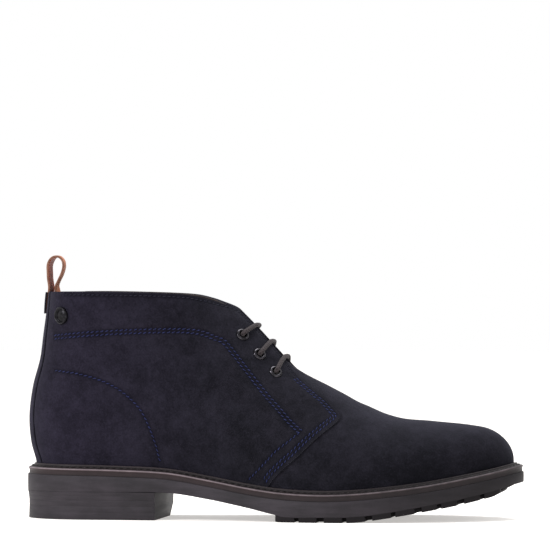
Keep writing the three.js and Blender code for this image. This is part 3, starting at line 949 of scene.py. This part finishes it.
# %% Rows of stitches
STITCH_PITCH = 2.9
EDGE_INSET = 2.5
SECOND_INSET = 4.7
DARK_INSET = 1.9
ROW_GAP = 2.1
SEAM_DEPTH = 0.3
SEAM_WIDTH = 2.0
STITCH_SIZE = (2.5, 0.72, 0.5)
STITCH_SINK = 0.14
NAVY_SLANT = 0.36
DARK_SLANT = 0.2
trees = {side: BVHTree.FromBMesh(quarters[side]) for side in SIDES}


def on_panel(side, x, z):
    """The quarter's surface and its normal, where a place is marked from the side."""
    return trees[side].find_nearest(side_point(x, z, side))[:2]


def dropped_row(side, line):
    """Points on the quarter under a line drawn in side view."""
    found = []
    for point in smooth_line(line):
        start = Vector((point.x, SIDES[side] * 120, point.y))
        place = trees[side].ray_cast(start, Vector((0, -SIDES[side], 0)))[0]
        if place:
            found.append(place)
    return found


def inset_row(side, boundary, inset):
    """Points on the quarter at a distance inside a boundary, which is drawn in side view."""
    reader = line_reader(boundary)
    count = max(2, round(reader.length))
    edge = [on_panel(side, *reader(i / count))[0] for i in range(count + 1)]
    near, found = point_tree(edge), []
    for i, place in enumerate(edge):
        run = edge[min(i + 1, count)] - edge[max(i - 1, 0)]
        inwards = trees[side].find_nearest(place)[1].cross(run).normalized()
        if inwards.dot(HEART + Vector((0, 0, 40)) - place) < 0:
            inwards.negate()
        point = trees[side].find_nearest(place + inset * inwards)[0]
        if near.find(point)[2] > 0.93 * inset:
            found.append(point)
    return found


def shifted(line, distance):
    """A line in side view moved sideways by a distance."""
    points = smooth_line(line, 4)
    found = []
    for i, point in enumerate(points):
        run = (points[min(i + 1, len(points) - 1)] - points[max(i - 1, 0)]).normalized()
        found.append(point + distance * Vector((-run.y, run.x)))
    return found


def seam_rows(side):
    """The rows in navy thread, and then the one along facing and top line in a thread as dark as the suede."""
    outline = outlines[side]
    top = [Vector((x, collar_at(x))) for x in range(round(facing_top(side)), 26, -3)]
    throat = next(i for i, p in enumerate(outline) if p.x < 166 and p.y > 80)
    navy = [
        inset_row(side, outline[:throat], EDGE_INSET),
        inset_row(side, outline[:throat], SECOND_INSET),
        dropped_row(side, TOP_SEAM),
        dropped_row(side, shifted(TOP_SEAM, -ROW_GAP)),
        dropped_row(side, FRONT_SEAM),
        dropped_row(side, COUNTER_SEAM),
    ]
    return navy, [inset_row(side, outline[throat:] + top, DARK_INSET)]

# %% [markdown]
# A seam is pressed into the panel first, and its depth fades to both sides as a soft bell. Then stitches
# are laid at even steps, each turned a little from the row, as thread lies between two holes.

# %% Stitches
def evenly(points, pitch):
    reader = line_reader(points)
    count = max(1, round(reader.length / pitch))
    return [(reader((i + 0.5) / count), reader((i + 0.9) / count) - reader((i + 0.1) / count)) for i in range(count)]


def press_seams(bm, rows):
    """Lowers the panel along its seams and marks them for the suede's finish, which paints shade there."""
    tree = point_tree([point for row in rows for point, _ in evenly(row, 1.0)])

    def depth(point):
        return -SEAM_DEPTH * math.exp(-((tree.find(point)[2] / (SEAM_WIDTH / 2)) ** 2))

    lift_sheet(bm, depth)
    # This mark paints shade into the suede's colour, strongest in the middle of each channel.
    seam = bm.verts.layers.float.new("seam")
    for vert in bm.verts:
        vert[seam] = math.exp(-((tree.find(vert.co)[2] / 1.2) ** 2))


def one_stitch():
    """A ball one unit across, which every stitch is squeezed from."""
    bm = bmesh.new()
    bmesh.ops.create_uvsphere(bm, u_segments=8, v_segments=6, radius=0.5)
    mesh = bpy.data.meshes.new("one stitch")
    bm.to_mesh(mesh)
    return mesh


def add_stitches(bm, row, tree, pitch, size, sink, slant):
    """Adds a small rounded stitch at every step of a row. size is its length, width and height."""
    ball = one_stitch()
    for place, run in evenly(row, pitch):
        hit, normal, _, _ = tree.find_nearest(place)
        along = (run - run.dot(normal) * normal).normalized()
        along = Matrix.Rotation(slant, 3, normal) @ along
        turn = Matrix((along, normal.cross(along), normal)).transposed().to_4x4()
        matrix = Matrix.Translation(hit + normal * (size[2] / 2 - sink)) @ turn @ Matrix.Diagonal((*size, 1))
        first = len(bm.verts)
        bm.from_mesh(ball)
        bm.verts.ensure_lookup_table()
        for vert in bm.verts[first:]:
            vert.co = matrix @ vert.co
    bpy.data.meshes.remove(ball)

# %% [markdown]
# Navy rows follow the front edge and the seams, and one dark row runs along facing and top line.

# %% Sew the quarters
stitches, dark_stitches = {}, {}
for side in SIDES:
    navy_rows, dark_rows = seam_rows(side)
    press_seams(quarters[side], navy_rows + dark_rows)
    trees[side] = BVHTree.FromBMesh(quarters[side])
    stitches[side], dark_stitches[side] = bmesh.new(), bmesh.new()
    for bm, rows, slant in ((stitches[side], navy_rows, NAVY_SLANT), (dark_stitches[side], dark_rows, DARK_SLANT)):
        for row in rows:
            add_stitches(bm, row, trees[side], STITCH_PITCH, STITCH_SIZE, STITCH_SINK, slant)
    print(side, "rows of thread:", [len(evenly(row, STITCH_PITCH)) for row in navy_rows + dark_rows])

# %% [markdown]
# With the seams pressed in, the panels can be finished: holes for the eyelets, the suede's thickness, and a rounded
# cut edge in a paler colour, partly the raw hide's own and partly a painted highlight where the edge catches light.

# %% Finish the panels
for side in SIDES:
    punch_holes(quarters[side], side)
    quarter = finish_piece(f"quarter_{side}", quarters[side], [blue_suede, cut_suede_and_highlight], ["upper"])
    give_thickness(quarter, 1.3, rim=1)
    finish_piece(f"stitches_{side}", stitches[side], [navy_thread])
    finish_piece(f"dark_stitches_{side}", dark_stitches[side], [dark_thread])
give_thickness(finish_piece("vamp", vamp, [blue_suede, cut_suede_and_highlight]), 1.2, rim=1)

# %% [markdown]
# ## Lining
#
# Inside, a thin leather lining follows the same panels, one wall's thickness further in.

# %% Lining
for side in SIDES:
    lining = quarter_sheet(side, 90, 60)
    lift_sheet(lining, lambda point: -WALL - 0.1)
    punch_holes(lining, side)
    give_thickness(finish_piece(f"lining_{side}", lining, [lining_leather]), 1.0, offset=1)
vamp_lining = sheet(90, 60, vamp_point)
lift_sheet(vamp_lining, lambda point: -WALL - 0.1)
give_thickness(finish_piece("vamp_lining", vamp_lining, [lining_leather]), 0.9, offset=1)

# %% [markdown]
# ## Back strip
#
# A strip of suede covers the heel seam from the welt to the top line. Its place around the heel is an
# angle, because the outline closes there as a quarter circle does.

# %% Back strip
def strip_point(u, v):
    across = 2 * u - 1
    side = side_of(across)
    z = section["edge"](10) - SKIRT + (collar_at(14) - section["edge"](10) + SKIRT) * v
    half = section[side](10) + swell_at(z - section["edge"](10))
    angle = abs(across) * STRIP_HALF / half
    along = HEEL_START + HEEL_ROUND * (1 - math.cos(angle))
    return last_point(along, z, tall_of(along, z), side)


strip = sheet(48, 110, strip_point)
lift_sheet(strip, lambda point: 0.75 + 0.8 * waves(point))
give_thickness(finish_piece("back_strip", strip, [blue_suede, cut_suede_and_highlight]), 0.9, rim=1, round_edge=0.35)

# %% [markdown]
# ## Tongue
#
# The tongue lies under the facings. Its middle follows the ridge of the foot and its sides wrap down
# under the quarters, lower at the throat so that the lace has room above it.

# %% Tongue
TONGUE_SIDE = [(107, 120.5), (128, 98.5), (150, 76), (166, 66)]
TONGUE_TOP = 121.0
TONGUE_END = 172.0
TONGUE_DIP = 3.4


def tongue_point(u, v):
    across = 2 * v - 1
    side = side_of(across)
    u += 0.16 * (1 - u) * (1 - math.sqrt(1 - across**4))
    middle_x = TONGUE_TOP + (TONGUE_END - TONGUE_TOP) * u
    middle = Vector((middle_x, ridge_height(middle_x)))
    edge = tongue_side(u)
    seen = middle.lerp(edge, across**2)
    return side_point(seen.x, seen.y, side)


def tongue_lift(point):
    return -WALL - 0.3 - TONGUE_DIP * ease((178 - point.x) / 16) + 0.4 * waves(point)


tongue_side = line_reader(smooth_line(TONGUE_SIDE))
tongue = sheet(60, 40, tongue_point)
lift_sheet(tongue, tongue_lift)
tongue_tree = BVHTree.FromBMesh(tongue)
tongue_piece = finish_piece("tongue_sheet", tongue, [blue_suede, cut_suede_and_highlight], ["tongue"])
give_thickness(tongue_piece, 2.0, rim=1, round_edge=0.5)

# %% [markdown]
# ## Pull loop
#
# The loop is one strap, folded over and sewn in at the back seam, with a patch over its outer end. Both faces are one
# tan leather: the inner face is a darker copy, a painted shade, and the outer face a paler copy, partly its nap and
# partly painted light. Its cut edges are brown. A strap is a sheet along a line seen from the side; low down it bends
# around the heel, and above the top line it is straight across.

# %% Pull loop
LOOP = [(10.1, 124.8), (10.7, 130), (11.7, 136), (12.1, 141), (11.9, 147.4), (11.9, 153.3), (14.1, 157.4),
        (17.3, 158.2), (20.0, 156), (20.7, 152.2), (19.4, 147.4), (17.4, 143.6), (15.8, 140.6), (15.8, 137.6),
        (16.5, 133), (15.6, 124.6)]
PATCH = [(9.3, 123.6), (9.5, 128), (9.8, 132), (10.3, 136.6)]
LOOP_HEART = Vector((16, 0, 149))
LOOP_WIDTH = 15
PATCH_WIDTH = 18.5


def front_twist(u):
    """The front arm of the loop is turned a little, so that it's seen nearly edge-on."""
    return 0.11 * ease((u - 0.42) / 0.1) * ease((0.86 - u) / 0.12)


def strap_sheet(line, width, heart, columns, twist=lambda u: 0.0):
    reader = line_reader(smooth_line(line))

    def place(u, v):
        at, y = reader(u), (v - 0.5) * width
        bend = ease((146 - at.y) / 8) * HEEL_ROUND * (1 - math.sqrt(1 - (y / 34) ** 2))
        return Vector((at.x + bend - twist(u) * y, y, at.y))

    bm = sheet(columns, 10, place)
    face_outwards(bm, heart)
    return bm


loop_finishes = [tan_nap_and_painted_light, tan_in_painted_shade, edge_leather]
bm = strap_sheet(LOOP, LOOP_WIDTH, LOOP_HEART, 120, front_twist)
strap = finish_piece("loop_strap", bm, loop_finishes, ["pull_loop"])
give_thickness(strap, 1.3, offset=0, round_edge=0.25, rim=2, back=1)
bm = strap_sheet(PATCH, PATCH_WIDTH, HEART, 14)
patch = finish_piece("patch", bm, [blue_suede, cut_suede_and_highlight], ["loop_patch"])
give_thickness(patch, 1.0, offset=0, rim=1)

# %% [markdown]
# ## Metal
#
# Eyelets and stud are turned: a half profile spun once around its axis. Each is then stood on the panel,
# with its axis along the surface's normal.

# %% Eyelets and stud
EYELET_PROFILE = [(2.0, -3.4), (2.0, 0.45), (2.2, 0.85), (2.65, 1.1), (3.2, 1.08), (3.75, 0.8), (4.1, 0.35),
                  (4.1, 0.0), (3.0, -0.1), (2.5, -0.5), (2.5, -3.4)]
STUD_PROFILE = [(0, 1.15), (2.0, 1.1), (3.3, 0.9), (3.6, 0.5), (3.85, 0.5), (4.1, 1.3), (4.5, 1.7), (4.85, 1.6),
                (5.15, 1.2), (5.25, 0.8), (5.25, 0.0), (0, 0.0)]


def turned(profile, steps):
    """A profile of (radius, height) spun around the Z axis."""
    bm = bmesh.new()
    verts = [bm.verts.new((radius, 0, height)) for radius, height in profile]
    loops = list(zip(verts, verts[1:] + verts[:1]))
    edges = [bm.edges.new(pair) for pair in loops if not (pair[0].co.x == 0 and pair[1].co.x == 0)]
    bmesh.ops.spin(bm, geom=verts + edges, cent=(0, 0, 0), axis=(0, 0, 1), angle=2 * math.pi, steps=steps,
                   use_merge=True)
    bmesh.ops.remove_doubles(bm, verts=bm.verts, dist=0.001)
    bmesh.ops.recalc_face_normals(bm, faces=bm.faces)
    return bm


def stand_on_panel(bm, side, x, z):
    """Turns a piece made around the Z axis and puts it on the quarter."""
    hit, normal = on_panel(side, x, z)
    turn = Vector((0, 0, 1)).rotation_difference(normal).to_matrix().to_4x4()
    bmesh.ops.transform(bm, matrix=Matrix.Translation(hit) @ turn, verts=bm.verts)


for side in SIDES:
    for i, (x, z) in enumerate(EYELETS):
        bm = turned(EYELET_PROFILE, 40)
        stand_on_panel(bm, side, x, z)
        finish_piece(f"ring_{side}_{i + 1}", bm, [gunmetal], [f"eyelet_{side}_{i + 1}"])
bm = turned(STUD_PROFILE, 48)
stand_on_panel(bm, "outer", *STUD)
finish_piece("stud_cap", bm, [dark_metal], ["stud"])

# %% [markdown]
# ## Lace
#
# One round lace goes straight across on top at each pair of eyelets and slantwise below the facings. Its
# two ends stay hidden under the top pair.

# %% Route of the lace
LACE_RADIUS = 1.4
LEANS = (50, 30, 16)
CROSSINGS = (137, 149)


def over_hole(side, hole, height):
    hit, normal = on_panel(side, *hole)
    return hit + normal * height


def bar_points(hole):
    """A bar's points from the outer eyelet's hole to the inner one's. It leans forward on its way up."""
    x, z = hole
    lean = math.radians(LEANS[EYELETS.index(hole)])
    up = Vector((math.sin(lean), math.cos(lean)))
    halves = {}
    for side in SIDES:
        far = 3.0
        while abs(side_point(x + up.x * far, z + up.y * far, side).y - midline(x)) > THROAT_HALF:
            far += 0.1
        points = [over_hole(side, hole, height) for height in (-2.0, 0.6, 2.6)]
        for share, height in ((0.5, 2.3), (0.8, 1.8), (1.0, 1.3)):
            points.append(over_hole(side, (x + up.x * far * share, z + up.y * far * share), height))
        halves[side] = points
    return halves["outer"] + halves["inner"][::-1]


def on_tongue(side, x, z):
    """A point on the tongue for the lace's middle, seen from the side at (x, z)."""
    hit, normal = tongue_tree.find_nearest(side_point(x, z, side))[:2]
    return hit + normal * (LACE_RADIUS + 0.05)


def crossing(low, high, ridge_x):
    """Under the facings, from beside the outer eyelet low up to beside the inner eyelet high."""
    ridge = Vector((ridge_x, ridge_height(ridge_x)))
    start, end = Vector((low[0] + 1, low[1] + 2)), Vector((high[0] + 1, high[1] + 2))
    points = [on_tongue("outer", *start.lerp(ridge, share)) for share in (0, 0.35, 0.7)]
    points.append(on_tongue("outer", ridge_x, ridge.y - 0.05))
    return points + [on_tongue("inner", *end.lerp(ridge, share)) for share in (0.7, 0.35, 0)]


def lace_route():
    """From the hidden end under the inner top eyelet, down, over and back up to the outer top eyelet."""
    top, middle, bottom = EYELETS
    route = [on_tongue("inner", top[0] - 1, top[1] - 5), on_tongue("inner", middle[0] - 3, middle[1] - 3),
             on_tongue("inner", bottom[0] - 2, bottom[1] + 1)]
    route += bar_points(bottom)[::-1]
    route += crossing(bottom, middle, CROSSINGS[1])
    route += bar_points(middle)[::-1]
    route += crossing(middle, top, CROSSINGS[0])
    route += bar_points(top)[::-1]
    return route + [on_tongue("outer", top[0] - 4, top[1] - 1)]

# %% [markdown]
# The cord is a sheet wrapped round the route. Each ring of points takes its direction from the one
# before, so the braid doesn't twist.

# %% Cord
def tube(points, radius, steps, around=14):
    """A tube along a line, with its rings kept from twisting."""
    reader = line_reader(points)
    centres = [reader(i / steps) for i in range(steps + 1)]
    frames, across = [], Vector((0, 0, 1))
    for i, centre in enumerate(centres):
        run = (centres[min(i + 1, steps)] - centres[max(i - 1, 0)]).normalized()
        across = (across - across.dot(run) * run).normalized()
        frames.append((centre, across.copy(), run.cross(across)))

    def place(u, v):
        centre, right, up = frames[round(u * steps)]
        angle = 2 * math.pi * v
        return centre + radius * (math.cos(angle) * right + math.sin(angle) * up)

    bm = sheet(steps, around, place)
    bmesh.ops.holes_fill(bm, edges=[edge for edge in bm.edges if edge.is_boundary])
    bmesh.ops.recalc_face_normals(bm, faces=bm.faces)
    return bm


lace_line = smooth_line(lace_route(), 12)
print("lace:", round(line_reader(lace_line).length), "mm")
finish_piece("lace", tube(lace_line, LACE_RADIUS, 420), [dark_cotton],
             [f"lace_bar_{i}" for i in (1, 2, 3)])

# %% [markdown]
# ## The welt
#
# The welt is a rubber strip all round the upper: a bead against the suede, a channel with moulded stitches, a lip and
# a reddish band under it, with shade and highlights painted over the profile. Its profile goes once around the
# outline.

# %% Welt
WELT_PROFILE = table(
    "reach over",
    (0.2, -2.8),
    (0.25, -1.7),
    (0.5, -1.0),
    (1.05, -0.7),
    (1.6, -0.85),
    (1.95, -1.25),
    (2.05, -1.7),
    (2.4, -2.1),
    (3.2, -2.45),
    (4.1, -2.75),
    (4.75, -3.0),
    (5.25, -3.3),
    (5.5, -3.75),
    (5.4, -4.2),
    (5.05, -4.6),
    (4.95, -5.2),
    (5.0, -6.4),
    (5.1, -6.9),
    (5.0, -7.15),
)
# Painted shadow where the welt tucks under the suede (0 to 0.1), painted highlights on the bead (0.17) and the lip
# (0.62), painted shade in the stitch channel (0.33 to 0.47), and the rubber's own reddish band under the lip (0.71
# on).
WELT_BANDS_AND_PAINTED_LIGHT = [
    (0.0, rgb(10, 8, 9)),
    (0.1, rgb(20, 17, 18)),
    (0.17, rgb(58, 52, 55)),
    (0.25, rgb(48, 42, 44)),
    (0.33, rgb(15, 12, 13)),
    (0.47, rgb(22, 18, 19)),
    (0.56, rgb(60, 53, 56)),
    (0.62, rgb(120, 109, 114)),
    (0.67, rgb(90, 79, 82)),
    (0.71, rgb(44, 35, 37)),
    (0.88, rgb(38, 30, 32)),
    (1.0, rgb(34, 29, 31)),
]
welt_rubber = banded_rubber("welt rubber", WELT_BANDS_AND_PAINTED_LIGHT)


def ring_point(turn, reach, over):
    """A point around the outline: the outer side for the first half turn and then back on the inner side."""
    side = side_of(turn - 0.5)
    x = outline_x(min(2 * turn, 2 - 2 * turn), reach)
    y = midline(x) + SIDES[side] * half_width(x, side, reach)
    return Vector((x, y, section["edge"](x) + over))


def welt_point(u, v):
    row = WELT_PROFILE[round(v * (len(WELT_PROFILE) - 1))]
    return ring_point(u, row["reach"], row["over"])


welt = sheet(440, len(WELT_PROFILE) - 1, welt_point)
welt_tree = BVHTree.FromBMesh(welt)
finish_piece("welt_strip", welt, [welt_rubber], ["welt"])

channel = [ring_point(i / 600, 3.1, -2.2) for i in range(601)]
bm = bmesh.new()
add_stitches(bm, channel, welt_tree, 4.1, (3.0, 1.0, 0.7), 0.25, 0.3)
finish_piece("welt_stitches", bm, [welt_thread])

# %% [markdown]
# ## Sole and heel
#
# The outsole is lofted: rails run from back to front up the outer side, across and down the inner side.
# The heel and its bottom lift are shorter lofts that stop at the breast, with faint lines where the stack
# of lifts shows.

# %% Outsole
SOLE_REACH = 5.9
BREAST = 82.5
TOP_LIFT = 8
TREAD_DEPTH = 4
NOTCH_HEIGHT = 3.2
TREAD_FROM = 157
TREAD_TO = 297
TREAD_FADE = 14


def sole_rail(side, reach, height, front=None):
    """A rail around the sole's outline at a height, which is a function of x. front is where it stops."""
    start = HEEL_START - reach
    length = (front or TIP + reach) - start

    def rail(u):
        share = closer_at_ends(u) if front is None else 1 - math.cos(math.pi * u / 2)
        x = start + length * share
        return Vector((x, midline(x) + SIDES[side] * half_width(x, side, reach), height(x)))

    return rail


def both_sides(rows, front=None):
    """Rails for rows of (reach, height), bottom first: up the outer side and down the inner side."""
    outer = [sole_rail("outer", reach, height, front) for reach, height in rows]
    inner = [sole_rail("inner", reach, height, front) for reach, height in rows[::-1]]
    return outer + inner


def over_edge(rise):
    return lambda x: section["edge"](x) + rise


def over_bottom(rise):
    """Over the body's underside, which at the tread is where the notches between the cleats end."""
    def height(x):
        tread = ease((x - TREAD_FROM) / 3) * ease((TREAD_TO - x) / TREAD_FADE)
        return section["under"](x) - (TREAD_DEPTH - NOTCH_HEIGHT) * tread + rise

    return height


def level(z):
    return lambda x: z


def crown(share):
    """A height part of the way from the outsole's underside to its top."""
    return lambda x: section["under"](x) + share * (section["edge"](x) - 8 - section["under"](x))


SOLE_ROWS = [
    (-14, over_bottom(0)),
    (SOLE_REACH - 2.5, over_bottom(0)),
    (SOLE_REACH - 0.3, over_bottom(0)),
    (SOLE_REACH - 0.08, over_bottom(0.08)),
    (SOLE_REACH, over_bottom(0.35)),
    (SOLE_REACH + 0.05, crown(0.5)),
    (SOLE_REACH, over_edge(-7.8)),
    (SOLE_REACH - 0.2, over_edge(-7.35)),
    (SOLE_REACH - 0.6, over_edge(-7.15)),
    (SOLE_REACH - 3, over_edge(-7.15)),
]
outsole = loft(both_sides(SOLE_ROWS), 220)

# %% [markdown]
# The tread is a set of blocks: cleats along both edges with a notch between each two, and bars in the middle. Every
# block is a cube, cut lengthwise so that it can bend with the sole, then bevelled. A long rib behind the cleats
# closes the notches, and the whole tread takes a darker rubber than the sole, a painted shade that keeps the notches
# dark.

# %% Tread
CLEAT_PITCH = 14.4
TOE_CLEATS_FROM = 240
TOE_CLEAT_PITCH = 12.096
CLEAT_LENGTH = 17
NOTCHES = (2.6, 4.3)
BAR_LENGTH = 6.4
BAR_PITCH = 11.52
BAR_GAP = 1.5


def ground(x):
    return max(0.0, section["under"](x) - TREAD_DEPTH * ease((TREAD_TO - x) / TREAD_FADE))


def add_block(bm, start, end, near, far, cuts=4, clear=0.0):
    """Adds a block from start to end along the sole, clear of the ground. near and far give its sides' y at x."""
    block = bmesh.new()
    bmesh.ops.create_cube(block, size=1)
    lengthwise = [e for e in block.edges if abs(e.verts[0].co.x - e.verts[1].co.x) > 0.5]
    bmesh.ops.subdivide_edges(block, edges=lengthwise, cuts=cuts, use_grid_fill=True)
    for vert in block.verts:
        a, b, c = vert.co + Vector((0.5, 0.5, 0.5))
        x = start + (end - start) * a
        top = section["under"](x) + 0.6
        foot = ground(x) + clear
        vert.co = Vector((x, near(x) + (far(x) - near(x)) * b, foot + (top - foot) * c))
    bmesh.ops.recalc_face_normals(block, faces=block.faces)
    sharp = [e for e in block.edges if e.calc_face_angle(0) > 0.7]
    bmesh.ops.bevel(block, geom=sharp, offset=0.3, segments=2, profile=0.5, affect="EDGES", material=-1)
    join_into(bm, block)


def edge_y(side, inset):
    """The sole's edge on one side, moved inwards, as a function of x."""
    return lambda x: midline(x) + SIDES[side] * max(0.2, half_width(x, side, SOLE_REACH - 0.04) - inset)


def cleat_ends():
    """Where each cleat starts and ends, from the arch to the toe."""
    ends, start, x, wide = [], TREAD_FROM, TREAD_FROM + 13, False
    while x < TREAD_TO - 6:
        gap = NOTCHES[wide]
        ends.append((start, x - gap / 2))
        start = x + gap / 2
        x += TOE_CLEAT_PITCH if x > TOE_CLEATS_FROM else CLEAT_PITCH
        wide = not wide
    return ends + [(start, TREAD_TO - 2)]


tread = bmesh.new()
for start, end in cleat_ends():
    for side in SIDES:
        add_block(tread, start, end, edge_y(side, CLEAT_LENGTH), edge_y(side, 0))
for side in SIDES:
    add_block(tread, TREAD_FROM + 1, TREAD_TO - 5, edge_y(side, CLEAT_LENGTH - 1), edge_y(side, 5), 24, 0.5)
outer_middle, inner_middle = edge_y("outer", CLEAT_LENGTH), edge_y("inner", CLEAT_LENGTH)
add_block(tread, TREAD_FROM, TREAD_FROM + 8, outer_middle, inner_middle)
x = TREAD_FROM + 12
while x < TREAD_TO - 36:
    add_block(tread, x, x + BAR_LENGTH, lambda at: outer_middle(at) + BAR_GAP, lambda at: inner_middle(at) - BAR_GAP)
    x += BAR_PITCH
add_block(tread, TREAD_TO - 28, TREAD_TO - 8, outer_middle, inner_middle)
finish_piece("tread", tread, [tread_rubber_painted_dark])
finish_piece("sole_body", outsole, [sole_rubber], ["outsole"])

# %% Heel
HEEL_ROWS = [(4.98, 8.0), (5.02, 8.1), (5.1, 11.4), (5.05, 11.55), (5.15, 11.7), (5.4, 14.1), (5.36, 14.25),
             (5.45, 14.4), (5.88, 16.6)]
LIFT_ROWS = [(5.1, 0.0), (5.22, 0.12), (5.15, 4.1), (5.1, 4.25), (5.13, 4.4), (5.02, 7.9), (4.98, 8.0)]
CORNER_CUT = 13
HEEL_REACH = 5.2


def short_loft(rows):
    return loft(both_sides([(reach, level(z)) for reach, z in rows], BREAST), 60)


round_edges(finish_piece("heel_stack", short_loft(HEEL_ROWS), [sole_rubber], ["heel"]), 0.25, 55)
lift = short_loft(LIFT_ROWS)
inner_edge = half_width(BREAST, "inner", HEEL_REACH)
cut = Vector((1 / CORNER_CUT, 1 / CORNER_CUT, -1 / TOP_LIFT))
bmesh.ops.bisect_plane(lift, geom=lift.verts[:] + lift.edges[:] + lift.faces[:], dist=0.001,
                       plane_co=(BREAST, inner_edge - CORNER_CUT, 0), plane_no=cut, clear_outer=True)
bmesh.ops.holes_fill(lift, edges=[edge for edge in lift.edges if edge.is_boundary])
bmesh.ops.recalc_face_normals(lift, faces=lift.faces)
round_edges(finish_piece("bottom_lift", lift, [sole_rubber], ["top_lift"]), 0.25, 55)

# %% [markdown]
# ## Sock
#
# Inside, a leather sock covers the board that the foot stands on.

# %% Sock
SOCK_REACH = -2.8
SOCK_RISE = 1.4
SOCK_CROWN = 0.4


def sock_point(u, v):
    x, across = outline_x(u, SOCK_REACH), 2 * v - 1
    y = midline(x) + across * half_width(x, side_of(across), SOCK_REACH)
    return Vector((x, y, section["edge"](x) + SOCK_RISE - SOCK_CROWN * across**2))


give_thickness(finish_piece("sock", sheet(80, 20, sock_point), [sock_leather], ["insole"]), 1.5)

# %% [markdown]
#
# The floor is a matt white sheet, lit a little from below as a light table is, which keeps the shadow soft.

# %% Floor
paper = Finish("white paper", Roughness=0.9, Emission_Strength=0.5)
grain = paper.noise(paper.place(), 30, 2)
warm_white = paper.mix(grain * 0.3, (0.97, 0.94, 0.91, 1), (1.0, 0.98, 0.96, 1))
paper.feed("Base Color", paper.mix(0.3, warm_white, (0, 0, 0, 1)))
paper.feed("Emission Color", warm_white)
floor.data.materials.append(paper.material)
